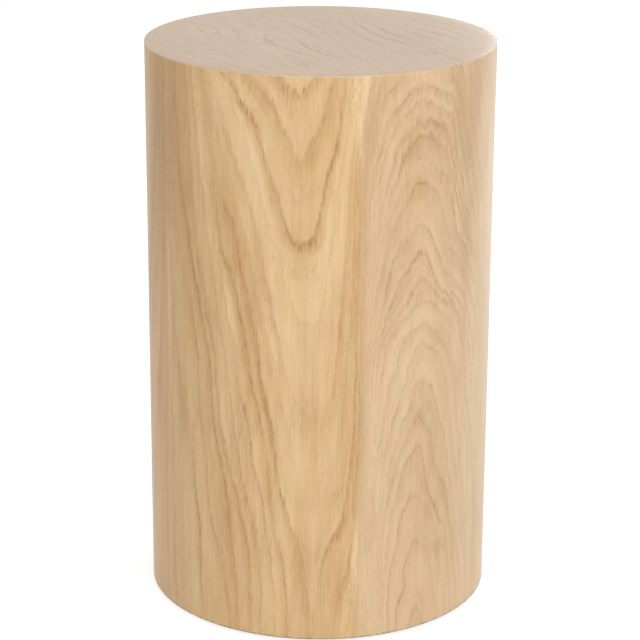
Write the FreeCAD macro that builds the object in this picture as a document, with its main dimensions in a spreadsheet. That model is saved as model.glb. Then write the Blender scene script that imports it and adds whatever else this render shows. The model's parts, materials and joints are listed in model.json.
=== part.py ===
"""Drum side table: a closed oak-veneered cylinder that stands on four recessed feet.

Two bent plywood half shells are glued round three ring formers, which four posts hold apart.
A rebated panel closes the top, a recessed panel closes the base, and oak veneer covers the
top and the wall.

Frame: millimetres, +Z up, origin on the floor at the centre of the drum, front towards -Y.
Every angle is measured from +X, counter-clockwise seen from above.
"""
import FreeCAD, Part
import os
import re

import Sketcher
from FreeCAD import Placement, Rotation, Vector

# Every size that can be set by itself: alias, value and what it is.
DRIVING = [
    ("drum_diameter", 350, "outside diameter over the wall veneer"),
    ("drum_height", 575, "floor to the top face"),
    ("floor_gap", 3, "shadow gap under the wall"),
    ("veneer_thickness", 0.6, "face veneer on the wall and the top"),
    ("veneer_glue", 0.15, "glue line between the wall and its veneer"),
    ("veneer_easing", 0.3, "bevel along the free edges of the veneer"),
    ("leaf_count", 5, "veneer leaves round the wall"),
    ("leaf_seam_angle", -77, "angle of the seam that faces the front"),
    ("shell_thickness", 9, "bent plywood wall"),
    ("shell_joint_angle", 0, "angle of the first butt joint of the half shells"),
    ("splice_width", 60, "batten behind each butt joint, along the arc"),
    ("splice_thickness", 9, "the same batten, radially"),
    ("glue_clearance", 0.1, "space for glue round a piece that slides into another"),
    ("top_thickness", 18, "top panel"),
    ("top_lip", 9, "part of the top panel that lies on the wall's upper edge"),
    ("balancer_thickness", 0.6, "balancing veneer under the top panel"),
    ("base_thickness", 12, "base panel"),
    ("base_recess", 12, "base panel above the lower edge of the wall"),
    ("ring_thickness", 15, "ring formers, plywood"),
    ("ring_width", 35, "ring formers, radially"),
    ("middle_ring_height", 290, "underside of the middle ring above the floor"),
    ("post_count", 4, "posts inside the rings"),
    ("post_angle", 45, "angle of the first post"),
    ("post_width", 30, "posts, across"),
    ("post_thickness", 20, "posts, radially"),
    ("screw_shank", 4, "diameter of every screw's shank"),
    ("screw_head", 8, "diameter of every screw's head"),
    ("pan_head_height", 2.5, "head of the screws that hold the feet"),
    ("screw_allowance", 0.05, "space round a screw in its hole, radially"),
    ("ring_screw_count", 8, "screws through the top ring, and through the base panel"),
    ("ring_screw_angle", 22.5, "angle of the first of them"),
    ("ring_screw_length", 25, "the same screws, over all"),
    ("ring_screw_inset", 17, "their circle, in from the inside of the wall"),
    ("post_screw_length", 30, "screws through the posts into the rings"),
    ("foot_count", 4, "feet under the base panel"),
    ("foot_angle", 45, "angle of the first foot"),
    ("foot_inset", 45, "centre of a foot, in from the inside of the wall"),
    ("foot_top_diameter", 40, "foot where it meets the base panel"),
    ("foot_sole_diameter", 34, "foot where it meets the floor"),
    ("foot_edge_bevel", 1.2, "bevel round the sole of a foot"),
    ("foot_bore_diameter", 14, "hollow in the sole that hides the screw"),
    ("foot_bore_depth", 8, "depth of that hollow"),
    ("foot_screw_length", 16, "screws that hold the feet, under the head"),
]

# Sizes that follow from the driving ones, each as a formula of them.
DERIVED = {
    "wall_radius": "drum_diameter / 2",
    "veneer_back": "wall_radius - veneer_thickness",
    "shell_radius": "veneer_back - veneer_glue",
    "inner_radius": "shell_radius - shell_thickness",
    "fitted_radius": "inner_radius - glue_clearance",
    "top_of_panel": "drum_height - veneer_thickness",
    "under_panel": "top_of_panel - top_thickness",
    "top_of_shell": "top_of_panel - top_lip",
    "under_balancer": "under_panel - balancer_thickness",
    "under_base": "floor_gap + base_recess",
    "top_of_base": "under_base + base_thickness",
    "ring_inner_radius": "fitted_radius - ring_width",
    "under_top_ring": "under_balancer - ring_thickness",
    "under_middle_ring": "middle_ring_height",
    "under_bottom_ring": "top_of_base",
    "post_back": "ring_inner_radius + post_thickness",
    "leaf_span": "360 / leaf_count",
    "splice_radius": "inner_radius - splice_thickness",
    "splice_span": "splice_width / inner_radius * 180 / pi",
    "notch_span": "(splice_width + 2 * glue_clearance) / inner_radius * 180 / pi",
    "shank_radius": "screw_shank / 2",
    "head_radius": "screw_head / 2",
    "ring_screw_circle": "inner_radius - ring_screw_inset",
    "foot_circle": "inner_radius - foot_inset",
}

# The wall is bent in two halves, so it has two butt joints and two splices.
SHELL_HALVES = 2

# The ring formers and the height of the underside of each.
RINGS = {
    "bottom_ring": "under_bottom_ring",
    "middle_ring": "under_middle_ring",
    "top_ring": "under_top_ring",
}

doc = FreeCAD.newDocument("drum_side_table")
sheet = doc.addObject("Spreadsheet::Sheet", "Sizes")
for row, (alias, number, meaning) in enumerate(DRIVING, start=1):
    sheet.set(f"A{row}", meaning)
    sheet.set(f"B{row}", str(number))
    sheet.setAlias(f"B{row}", alias)
doc.recompute()


def formula(text):
    """Write a formula in named sizes as an expression of the spreadsheet's cells."""
    def expand(match):
        word = match.group(0)
        if word in DERIVED:
            return f"({formula(DERIVED[word])})"
        return word if word == "pi" else f"Sizes.{word}"
    return re.sub(r"\b[a-z]\w*", expand, text)


def size(text):
    """The present value of a formula."""
    return float(sheet.evalExpression(formula(text)))


def count(alias):
    """The present value of a cell that counts copies."""
    return int(round(size(alias)))


def new_body(label):
    """An empty body whose label names the piece."""
    body = doc.addObject("PartDesign::Body", label)
    body.Label = label
    return body


def origin_item(body, role):
    """One of the body's own origin planes or axes."""
    return next(item for item in body.Origin.OriginFeatures if item.Role == role)


def upright_sketch(body, name, angle="0"):
    """A sketch on the body's XZ plane, turned about Z: across is the radius, up is the height."""
    sketch = body.newObject("Sketcher::SketchObject", name)
    sketch.AttachmentSupport = [(origin_item(body, "XZ_Plane"), "")]
    sketch.MapMode = "FlatFace"
    sketch.AttachmentOffset = Placement(Vector(), Rotation(Vector(0, 1, 0), 1))
    sketch.setExpression("AttachmentOffset.Rotation.Angle", formula(angle))
    return sketch


def level_sketch(body, name, height, angle="0"):
    """A sketch parallel to the floor at a height, turned about Z."""
    sketch = body.newObject("Sketcher::SketchObject", name)
    sketch.AttachmentSupport = [(origin_item(body, "XY_Plane"), "")]
    sketch.MapMode = "FlatFace"
    sketch.AttachmentOffset = Placement(Vector(), Rotation(Vector(0, 0, 1), 1))
    sketch.setExpression("AttachmentOffset.Base.z", formula(height))
    sketch.setExpression("AttachmentOffset.Rotation.Angle", formula(angle))
    return sketch


def draw_outline(sketch, corners):
    """A closed outline through corners given as (across, up) formulas, each bound to the sheet."""
    points = [Vector(size(across), size(up), 0) for across, up in corners]
    for index, point in enumerate(points):
        after = points[(index + 1) % len(points)]
        sketch.addGeometry(Part.LineSegment(point, after), False)
    for index, (across, up) in enumerate(corners):
        after = (index + 1) % len(corners)
        sketch.addConstraint(Sketcher.Constraint("Coincident", index, 2, after, 1))
        for kind, text in (("DistanceX", across), ("DistanceY", up)):
            datum = Sketcher.Constraint(kind, -1, 1, index, 1, size(text))
            place = sketch.addConstraint(datum)
            sketch.setExpression(f"Constraints[{place}]", formula(text))


def turn(body, name, corners, span="360"):
    """Revolve an outline about the drum's axis, from the XZ plane through the span."""
    sketch = upright_sketch(body, f"{name}_outline")
    draw_outline(sketch, corners)
    turned = body.newObject("PartDesign::Revolution", name)
    turned.Profile = sketch
    turned.ReferenceAxis = (sketch, ["V_Axis"])
    turned.setExpression("Angle", formula(span))
    return turned


def turn_pin(body, kind, name, corners, angle="0"):
    """Revolve a half outline about the line from its last corner to its first.

    kind is PartDesign::Revolution for a screw and PartDesign::Groove for its hole.
    """
    sketch = upright_sketch(body, f"{name}_outline", angle)
    draw_outline(sketch, corners)
    ends = [Vector(size(across), size(up), 0) for across, up in (corners[0], corners[-1])]
    axis = sketch.addGeometry(Part.LineSegment(*ends), True)
    sketch.addConstraint(Sketcher.Constraint("Coincident", axis, 1, 0, 1))
    sketch.addConstraint(Sketcher.Constraint("Coincident", axis, 2, len(corners) - 1, 1))
    pin = body.newObject(kind, name)
    pin.Profile = sketch
    pin.ReferenceAxis = (sketch, ["Axis0"])
    pin.Angle = 360
    return pin


def repeat_round(body, features, copies):
    """Copy features round the drum's axis, as many times as the formula says."""
    pattern = body.newObject("PartDesign::PolarPattern", f"{features[0].Name}_round")
    pattern.Originals = features
    pattern.Axis = (origin_item(body, "Z_Axis"), [""])
    pattern.Angle = 360
    pattern.setExpression("Occurrences", formula(copies))
    body.Tip = pattern


def rotate_body(body, angle):
    """Turn a whole body about the drum's axis."""
    body.Placement = Placement(Vector(), Rotation(Vector(0, 0, 1), 1))
    body.setExpression(".Placement.Rotation.Angle", formula(angle))


def countersunk_up(circle, start, length, allowance="0"):
    """Half outline of a countersunk screw that points up, with its head's face at start."""
    return [
        (circle, start),
        (f"{circle} + head_radius + {allowance}", start),
        (f"{circle} + shank_radius + {allowance}", f"{start} + head_radius - shank_radius"),
        (f"{circle} + shank_radius + {allowance}", f"{start} + {length} - shank_radius"),
        (circle, f"{start} + {length} + {allowance}"),
    ]


def countersunk_out(start, height, length, allowance="0"):
    """Half outline of a countersunk screw that points away from the axis at a height."""
    return [
        (start, height),
        (start, f"{height} + head_radius + {allowance}"),
        (f"{start} + head_radius - shank_radius", f"{height} + shank_radius + {allowance}"),
        (f"{start} + {length} - shank_radius", f"{height} + shank_radius + {allowance}"),
        (f"{start} + {length} + {allowance}", height),
    ]


def pan_head_up(circle, start, length, allowance="0"):
    """Half outline of a pan-head screw that points up, with the underside of its head at start."""
    return [
        (circle, f"{start} - pan_head_height"),
        (f"{circle} + head_radius - pan_head_height / 4", f"{start} - pan_head_height"),
        (f"{circle} + head_radius", f"{start} - pan_head_height / 2"),
        (f"{circle} + head_radius", start),
        (f"{circle} + shank_radius + {allowance}", start),
        (f"{circle} + shank_radius + {allowance}", f"{start} + {length} - shank_radius"),
        (circle, f"{start} + {length} + {allowance}"),
    ]


def top_screw_outline(allowance="0"):
    """The screws that go up through the top ring into the top panel."""
    return countersunk_up("ring_screw_circle", "under_top_ring", "ring_screw_length", allowance)


def base_screw_outline(allowance="0"):
    """The screws that go up through the base panel into the bottom ring."""
    return countersunk_up("ring_screw_circle", "under_base", "ring_screw_length", allowance)


def post_screw_outline(ring_underside, allowance="0"):
    """The screws that go out through a post into a ring, half way up the ring."""
    height = f"{ring_underside} + ring_thickness / 2"
    return countersunk_out("ring_inner_radius", height, "post_screw_length", allowance)


def foot_screw_outline(allowance="0"):
    """The screws that go up through the feet into the base panel."""
    return pan_head_up("foot_circle", "foot_bore_depth", "foot_screw_length", allowance)


def drill_round(body, name, outline, angle, copies):
    """Cut the holes of one set of screws out of a body."""
    hole = turn_pin(body, "PartDesign::Groove", name, outline, angle)
    repeat_round(body, [hole], copies)


def top_veneer():
    """One round leaf that also covers the upper edge of the wall veneer."""
    body = new_body("top_veneer")
    turn(body, "top_leaf", [
        ("0", "top_of_panel"),
        ("wall_radius", "top_of_panel"),
        ("wall_radius", "drum_height - veneer_easing"),
        ("wall_radius - veneer_easing", "drum_height"),
        ("0", "drum_height"),
    ])


def wall_veneer_leaf(index):
    """A leaf of the wall veneer, from its seam round to the next."""
    body = new_body(f"wall_veneer_{index + 1}")
    turn(body, f"wall_leaf_{index + 1}", [
        ("veneer_back", "floor_gap"),
        ("wall_radius - veneer_easing", "floor_gap"),
        ("wall_radius", "floor_gap + veneer_easing"),
        ("wall_radius", "top_of_panel"),
        ("veneer_back", "top_of_panel"),
    ], "leaf_span")
    rotate_body(body, f"leaf_seam_angle + {index} * leaf_span")


def half_shell(label, half_turns):
    """Half of the bent plywood wall, from one butt joint to the other."""
    body = new_body(label)
    turn(body, f"{label}_wall", [
        ("inner_radius", "floor_gap"),
        ("shell_radius", "floor_gap"),
        ("shell_radius", "top_of_shell"),
        ("inner_radius", "top_of_shell"),
    ], f"360 / {SHELL_HALVES}")
    rotate_body(body, f"shell_joint_angle + {half_turns} * 360 / {SHELL_HALVES}")


def splice_batten(label, half_turns):
    """The batten glued behind a butt joint of the shells, let into the rings."""
    body = new_body(label)
    turn(body, f"{label}_band", [
        ("splice_radius", "top_of_base"),
        ("inner_radius", "top_of_base"),
        ("inner_radius", "under_balancer"),
        ("splice_radius", "under_balancer"),
    ], "splice_span")
    rotate_body(body, f"shell_joint_angle + {half_turns} * 360 / {SHELL_HALVES} - splice_span / 2")


def top_panel():
    """The panel that closes the drum, rebated to drop into the shells and lie on their edge."""
    body = new_body("top_panel")
    turn(body, "top_board", [
        ("0", "under_panel"),
        ("fitted_radius", "under_panel"),
        ("fitted_radius", "top_of_shell"),
        ("shell_radius", "top_of_shell"),
        ("shell_radius", "top_of_panel"),
        ("0", "top_of_panel"),
    ])
    drill_round(body, "top_pilot", top_screw_outline("screw_allowance"),
                "ring_screw_angle", "ring_screw_count")


def top_balancer():
    """The veneer under the top panel that keeps the panel flat."""
    body = new_body("top_balancer")
    turn(body, "balancing_leaf", [
        ("0", "under_balancer"),
        ("fitted_radius", "under_balancer"),
        ("fitted_radius", "under_panel"),
        ("0", "under_panel"),
    ])
    drill_round(body, "balancer_hole", top_screw_outline("screw_allowance"),
                "ring_screw_angle", "ring_screw_count")


def base_panel():
    """The panel that closes the drum from below, set up inside the wall."""
    body = new_body("base_panel")
    turn(body, "base_board", [
        ("0", "under_base"),
        ("fitted_radius", "under_base"),
        ("fitted_radius", "top_of_base"),
        ("0", "top_of_base"),
    ])
    drill_round(body, "base_hole", base_screw_outline("screw_allowance"),
                "ring_screw_angle", "ring_screw_count")
    drill_round(body, "foot_pilot", foot_screw_outline("screw_allowance"),
                "foot_angle", "foot_count")


def ring_former(label, underside):
    """A plywood ring, notched outside for the splices and inside for the posts."""
    body = new_body(label)
    top = f"{underside} + ring_thickness"
    turn(body, f"{label}_band", [
        ("ring_inner_radius", underside),
        ("fitted_radius", underside),
        ("fitted_radius", top),
        ("ring_inner_radius", top),
    ])

    splice_sketch = upright_sketch(body, f"{label}_splice_outline",
                                   "shell_joint_angle - notch_span / 2")
    draw_outline(splice_sketch, [
        ("splice_radius - glue_clearance", underside),
        ("inner_radius + glue_clearance", underside),
        ("inner_radius + glue_clearance", top),
        ("splice_radius - glue_clearance", top),
    ])
    splice_notch = body.newObject("PartDesign::Groove", f"{label}_splice_notch")
    splice_notch.Profile = splice_sketch
    splice_notch.ReferenceAxis = (splice_sketch, ["V_Axis"])
    splice_notch.setExpression("Angle", formula("notch_span"))
    repeat_round(body, [splice_notch], str(SHELL_HALVES))

    post_sketch = level_sketch(body, f"{label}_post_outline", top, "post_angle")
    side = "(post_width / 2 + glue_clearance)"
    draw_outline(post_sketch, [
        ("ring_inner_radius - post_thickness", f"-{side}"),
        ("post_back + glue_clearance", f"-{side}"),
        ("post_back + glue_clearance", side),
        ("ring_inner_radius - post_thickness", side),
    ])
    post_notch = body.newObject("PartDesign::Pocket", f"{label}_post_notch")
    post_notch.Profile = post_sketch
    post_notch.setExpression("Length", formula("ring_thickness"))
    repeat_round(body, [post_notch], "post_count")

    drill_round(body, f"{label}_post_pilot", post_screw_outline(underside, "screw_allowance"),
                "post_angle", "post_count")
    if label == "top_ring":
        drill_round(body, "top_ring_hole", top_screw_outline("screw_allowance"),
                    "ring_screw_angle", "ring_screw_count")
    if label == "bottom_ring":
        drill_round(body, "bottom_ring_pilot", base_screw_outline("screw_allowance"),
                    "ring_screw_angle", "ring_screw_count")


def post(index):
    """A post that stands on the base panel, in the notches of all three rings."""
    body = new_body(f"post_{index + 1}")
    section = level_sketch(body, f"post_{index + 1}_section", "top_of_base")
    draw_outline(section, [
        ("ring_inner_radius", "-post_width / 2"),
        ("post_back", "-post_width / 2"),
        ("post_back", "post_width / 2"),
        ("ring_inner_radius", "post_width / 2"),
    ])
    bar = body.newObject("PartDesign::Pad", f"post_{index + 1}_bar")
    bar.Profile = section
    bar.setExpression("Length", formula("under_balancer - top_of_base"))
    for label, underside in RINGS.items():
        turn_pin(body, "PartDesign::Groove", f"post_{index + 1}_{label}_hole",
                 post_screw_outline(underside, "screw_allowance"))
    rotate_body(body, f"post_angle + {index} * 360 / post_count")


def foot(index):
    """A tapered rubber foot, hollow in the sole where its screw's head sits."""
    body = new_body(f"foot_{index + 1}")
    turn(body, f"foot_{index + 1}_block", [
        ("foot_bore_diameter / 2", "0"),
        ("foot_sole_diameter / 2 - foot_edge_bevel", "0"),
        ("foot_sole_diameter / 2", "foot_edge_bevel"),
        ("foot_top_diameter / 2", "under_base"),
        ("shank_radius + screw_allowance", "under_base"),
        ("shank_radius + screw_allowance", "foot_bore_depth"),
        ("foot_bore_diameter / 2", "foot_bore_depth"),
    ])
    angle = formula(f"foot_angle + {index} * 360 / foot_count")
    body.setExpression(".Placement.Base.x", f"{formula('foot_circle')} * cos({angle})")
    body.setExpression(".Placement.Base.y", f"{formula('foot_circle')} * sin({angle})")


def screw_set(label, outlines, angle, copies):
    """One set of equal screws: an outline for each height, copied round the drum."""
    body = new_body(label)
    body.AllowCompound = True
    screws = [turn_pin(body, "PartDesign::Revolution", f"{label}_{index + 1}", outline)
              for index, outline in enumerate(outlines)]
    repeat_round(body, screws, copies)
    rotate_body(body, angle)


def build():
    """Make every piece of the table."""
    top_veneer()
    for index in range(count("leaf_count")):
        wall_veneer_leaf(index)
    half_shell("shell_back", 0)
    half_shell("shell_front", 1)
    splice_batten("splice_right", 0)
    splice_batten("splice_left", 1)
    top_panel()
    top_balancer()
    base_panel()
    for label, underside in RINGS.items():
        ring_former(label, underside)
    for index in range(count("post_count")):
        post(index)
    for index in range(count("foot_count")):
        foot(index)
    screw_set("top_screws", [top_screw_outline()], "ring_screw_angle", "ring_screw_count")
    screw_set("base_screws", [base_screw_outline()], "ring_screw_angle", "ring_screw_count")
    screw_set("post_screws", [post_screw_outline(underside) for underside in RINGS.values()],
              "post_angle", "post_count")
    screw_set("foot_screws", [foot_screw_outline()], "foot_angle", "foot_count")
    doc.recompute()


def check():
    """Stop if any object failed or any piece is empty or invalid."""
    for item in doc.Objects:
        if "Invalid" in item.State or "Error" in item.State:
            raise RuntimeError(f"{item.Label} failed: {item.State}")
    for body in pieces():
        if body.Shape.isNull() or not body.Shape.isValid():
            raise RuntimeError(f"{body.Label} has no valid shape")


def pieces():
    """The bodies, one for each piece or set of equal screws."""
    return [item for item in doc.Objects if item.TypeId == "PartDesign::Body"]


def export():
    """Write each piece to its own STEP file."""
    os.makedirs("parts", exist_ok=True)
    for body in pieces():
        body.Shape.exportStep(f"parts/{body.Label}.step")
        box = body.Shape.BoundBox
        print(f"{body.Label:16s} solids {len(body.Shape.Solids):2d}  volume {body.Shape.Volume:12.1f}"
              f"  z {box.ZMin:7.2f} to {box.ZMax:7.2f}  across {max(box.XLength, box.YLength):7.2f}")


build()
check()
export()
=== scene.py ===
# %% [markdown]
# # A drum side table in oak veneer
#
# The table is a closed cylinder. Its construction, the plywood wall, the panels, the rings, the
# posts, the screws and the feet, comes ready made as a fixed frame. This lesson gives it its
# looks: five leaves of oak veneer round the wall, one on the top, and a finish for every raw
# surface that shows from below.

# %% Load the frame
import json
import math

import bpy
import numpy as np
from mathutils import Matrix, Vector


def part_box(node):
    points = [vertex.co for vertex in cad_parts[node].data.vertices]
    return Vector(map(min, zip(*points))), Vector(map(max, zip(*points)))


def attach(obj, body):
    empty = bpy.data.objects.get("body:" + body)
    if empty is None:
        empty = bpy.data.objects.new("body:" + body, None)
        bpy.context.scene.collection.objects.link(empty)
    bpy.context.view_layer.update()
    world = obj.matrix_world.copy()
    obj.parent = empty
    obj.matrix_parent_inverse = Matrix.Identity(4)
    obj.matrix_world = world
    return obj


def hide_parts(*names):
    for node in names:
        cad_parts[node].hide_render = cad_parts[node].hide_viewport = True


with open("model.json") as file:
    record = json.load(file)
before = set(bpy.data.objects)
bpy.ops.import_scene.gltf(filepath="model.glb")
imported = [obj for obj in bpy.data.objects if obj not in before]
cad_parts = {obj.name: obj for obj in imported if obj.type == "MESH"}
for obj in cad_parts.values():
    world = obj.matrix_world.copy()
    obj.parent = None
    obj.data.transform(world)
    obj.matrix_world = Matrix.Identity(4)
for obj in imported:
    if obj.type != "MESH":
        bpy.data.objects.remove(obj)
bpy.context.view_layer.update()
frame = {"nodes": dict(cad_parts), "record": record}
print("pieces in the frame:", len(frame["nodes"]))

# %% [markdown]
# ## Measures
#
# Everything is placed from the frame. The sizes could be typed in again, but then the looks would
# no longer fit once the construction changed. The top leaf's box gives the drum's radius and
# height, and the wall leaves' box gives the gap above the floor. Only the place of the seams is
# repeated here, because a box can't tell it.

# %% Measures taken from the frame, in metres
MM = 0.001
MM_PER_METRE = 1000.0
top_low, top_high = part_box("top_veneer")
wall_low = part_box("wall_veneer_1")[0]
DRUM_RADIUS = (top_high[0] - top_low[0]) / 2
DRUM_TOP = top_high[2]
LEAF_TOP = top_low[2]
LEAF_FOOT = wall_low[2]
VENEER = DRUM_TOP - LEAF_TOP
LEAF_COUNT = 5
FIRST_SEAM = math.radians(-77)
LEAF_SPAN = 2 * math.pi / LEAF_COUNT
LEAF_HALF = LEAF_SPAN * DRUM_RADIUS / 2
print(f"radius {DRUM_RADIUS:.4f}, top {DRUM_TOP:.4f}, leaf from {LEAF_FOOT:.4f} to {LEAF_TOP:.4f}")

# %% [markdown]
# ## The camera
#
# The camera stands two and a quarter metres away and looks down on the table by about eighteen
# degrees. A shorter lens from nearer by would fill the picture as well, but the sides of the drum
# would lean in more, so a long lens is used. The camera is turned a third of a degree about its
# own line of sight, as a hand-held one is. An Euler angle for each turn could give that, but
# three axes put straight into the matrix say it without an order of turns.

# %% Set up the camera
CAMERA_DISTANCE = 2.2453
CAMERA_HEIGHT = 1.0276
CAMERA_PITCH = math.radians(18.395)
CAMERA_YAW = math.radians(0.022)
CAMERA_ROLL = math.radians(0.345)
LENS = 128.94
SENSOR_WIDTH = 36

camera_data = bpy.data.cameras.new("camera")
camera_data.lens = LENS
camera_data.sensor_width = SENSOR_WIDTH
camera = bpy.data.objects.new("camera", camera_data)
bpy.context.scene.collection.objects.link(camera)
look = Vector((math.sin(CAMERA_YAW) * math.cos(CAMERA_PITCH),
               math.cos(CAMERA_YAW) * math.cos(CAMERA_PITCH),
               -math.sin(CAMERA_PITCH)))
level = Vector((math.cos(CAMERA_YAW), -math.sin(CAMERA_YAW), 0))
upright = level.cross(look)
right = level * math.cos(CAMERA_ROLL) + upright * math.sin(CAMERA_ROLL)
up = upright * math.cos(CAMERA_ROLL) - level * math.sin(CAMERA_ROLL)
camera.matrix_world = Matrix((
    (right.x, up.x, -look.x, 0),
    (right.y, up.y, -look.y, -CAMERA_DISTANCE),
    (right.z, up.z, -look.z, CAMERA_HEIGHT),
    (0, 0, 0, 1),
))
bpy.context.scene.camera = camera
bpy.context.scene.view_settings.view_transform = "Standard"
print("camera at", tuple(round(value, 3) for value in camera.matrix_world.translation))

# %% [markdown]
# ## Small helpers for shader nodes
#
# A wood figure takes many small sums. The nodes could be laid out by hand in the editor, but a
# script makes the same material each time, and a few short helpers keep its recipes readable. The
# first ones add a node, feed a socket with either a link or a plain value, and do arithmetic.

# %% Nodes and sums
def node(tree, kind, **settings):
    """Adds a node and sets its properties."""
    made = tree.nodes.new(kind)
    for key, value in settings.items():
        setattr(made, key, value)
    return made


def feed(tree, socket, value):
    """Links a socket to another, or gives it a plain value."""
    if isinstance(value, bpy.types.NodeSocket):
        tree.links.new(value, socket)
    else:
        socket.default_value = value


def maths(tree, operation, *values, clamp=False):
    """One Math node; the values are numbers or sockets."""
    made = node(tree, "ShaderNodeMath", operation=operation, use_clamp=clamp)
    for socket, value in zip(made.inputs, values):
        feed(tree, socket, value)
    return made.outputs[0]


def times(tree, first, *others, clamp=False):
    """The product of two or more numbers or sockets."""
    for other in others:
        first = maths(tree, "MULTIPLY", first, other, clamp=clamp)
    return first


def ease(tree, value, low, high, to_low=0.0, to_high=1.0, kind="SMOOTHSTEP"):
    """Maps a value from one range to another, held at both ends."""
    made = node(tree, "ShaderNodeMapRange", interpolation_type=kind)
    for socket, number in zip(made.inputs, (value, low, high, to_low, to_high)):
        feed(tree, socket, number)
    return made.outputs[0]


def fade(tree, value, low, high):
    """Full up to the low end, and gone at the high end."""
    return ease(tree, value, low, high, 1.0, 0.0)


def spread(tree, mask, to_low, to_high):
    """Maps a mask from 0 to 1 to another range, with soft ends."""
    return ease(tree, mask, 0.0, 1.0, to_low, to_high)


def blend_colour(tree, amount, first, second, kind="MIX"):
    """Mixes two colours."""
    made = node(tree, "ShaderNodeMix", data_type="RGBA", blend_type=kind)
    feed(tree, made.inputs["Factor"], amount)
    feed(tree, made.inputs["A"], first)
    feed(tree, made.inputs["B"], second)
    return made.outputs["Result"]


def srgb(red, green, blue):
    """A colour picked on a screen, from 0 to 255, as the linear values that shaders work in."""
    def linear(value):
        part = value / 255
        return part / 12.92 if part <= 0.04045 else ((part + 0.055) / 1.055) ** 2.4
    return (linear(red), linear(green), linear(blue), 1.0)


print("a screen grey of 128 is", round(srgb(128, 128, 128)[0], 3), "in linear light")

# %% [markdown]
# Wood patterns are noises that are stretched along the fibre. A Mapping node could stretch them,
# but its scales count repeats per metre, and a maker thinks in sizes. So the next helpers put
# vectors together, turn the leaf coordinates into millimetres, and make a noise whose patches
# have a given width and length.

# %% Places and noises
NOISE_RANGE = (0.3, 0.7)  # nearly all values of a smooth noise lie in here
NOISE_MIDDLE = (0.36, 0.64)  # a patch is off below this, and fully on above it


def join_vector(tree, x, y, z=0.0):
    """A vector put together from three numbers or sockets."""
    made = node(tree, "ShaderNodeCombineXYZ")
    for socket, value in zip(made.inputs, (x, y, z)):
        feed(tree, socket, value)
    return made.outputs[0]


def split_vector(tree, vector):
    """The three parts of a vector."""
    made = node(tree, "ShaderNodeSeparateXYZ")
    feed(tree, made.inputs[0], vector)
    return list(made.outputs)


def scale_vector(tree, vector, factor):
    """A vector times a number."""
    made = node(tree, "ShaderNodeVectorMath", operation="SCALE")
    feed(tree, made.inputs[0], vector)
    feed(tree, made.inputs["Scale"], factor)
    return made.outputs[0]


def vector_length(tree, vector):
    """The length of a vector."""
    made = node(tree, "ShaderNodeVectorMath", operation="LENGTH")
    feed(tree, made.inputs[0], vector)
    return made.outputs["Value"]


def object_place(tree):
    """Object coordinates, in metres."""
    return node(tree, "ShaderNodeTexCoord").outputs["Object"]


def leaf_millimetres(tree, leaf):
    """The places across and along the fibre, in millimetres."""
    return [times(tree, part, MM_PER_METRE) for part in split_vector(tree, leaf)[:2]]


def noise(tree, vector, detail=2.0, roughness=0.5):
    """Smooth noise, about 0.5 on average, with features one unit of the vector wide."""
    made = node(tree, "ShaderNodeTexNoise")
    feed(tree, made.inputs["Vector"], vector)
    feed(tree, made.inputs["Scale"], 1.0)
    feed(tree, made.inputs["Detail"], detail)
    feed(tree, made.inputs["Roughness"], roughness)
    return made.outputs["Fac"]


def patchy_noise(tree, place, size, seed, detail, roughness=0.5):
    """Noise with patches of a size; place and size are (across, along) in millimetres."""
    stretched = [maths(tree, "DIVIDE", part, length) for part, length in zip(place, size)]
    return noise(tree, join_vector(tree, *stretched, seed), detail, roughness)


# %% [markdown]
# A pattern that several woods share could be copied into each material, but a later change would
# have to be made in every copy. So it is a node group with named inputs and outputs, built once,
# and each material places it with its own values.

# %% Node groups
def new_group(name, inputs, outputs):
    """An empty node group; inputs are (name, kind, value) and outputs are (name, kind)."""
    group = bpy.data.node_groups.new(name, "ShaderNodeTree")
    for label, kind, value in inputs:
        socket = group.interface.new_socket(label, in_out="INPUT", socket_type=f"NodeSocket{kind}")
        if value is not None:
            socket.default_value = value
    for label, kind in outputs:
        group.interface.new_socket(label, in_out="OUTPUT", socket_type=f"NodeSocket{kind}")
    return group, node(group, "NodeGroupInput").outputs, node(group, "NodeGroupOutput").inputs


def use_group(tree, group, **values):
    """Places a group; keywords are its input names with underscores for spaces."""
    made = node(tree, "ShaderNodeGroup", node_tree=group)
    for key, value in values.items():
        feed(tree, made.inputs[key.replace("_", " ").title()], value)
    return made.outputs


# %% [markdown]
# ## Growth rings
#
# A veneer leaf is sliced flat through a log whose rings are slightly conical. Each ring meets the
# knife as a tall pointed arch, and the arches nest: this is the cathedral figure. A Wave texture
# could draw rings too, but only as bands or circles that a noise bends, and not as arches in
# chosen places. So each leaf gets a smooth field further on, which counts the years over its
# surface: a whole number is a strong year. A second field tells how many millimetres wide a year
# is there.
#
# This group turns the count into lines. It bends it with three noises: a broad one makes the
# arches lean, a middling one makes them wavy, and a fine one frays the lines fibre by fibre. Then
# it marks the strong years. A line begins sharply, where the large pores start, fades in a few
# millimetres, and leaves a soft halo of darker wood on the same side. The dense wood just before
# the line is a little paler.

# %% Sizes of the growth rings, in millimetres
LEAN_PATCH = (26.0, 70.0)
WAVE_PATCH = (7.0, 20.0)
FRAY_PATCH = (1.3, 15.0)
LINE_STARTS = (-0.9, 0.1)
LINE_FADES_FROM = 0.2
HALO_STARTS = (-2.5, 0.5)
HALO_FADES = (0.0, 13.0)
LATE_WOOD_STARTS = (-4.0, -1.2)
LATE_WOOD_ENDS = (-1.0, 0.0)
print("a halo of darker wood reaches", HALO_FADES[1], "mm past its line")

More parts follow.
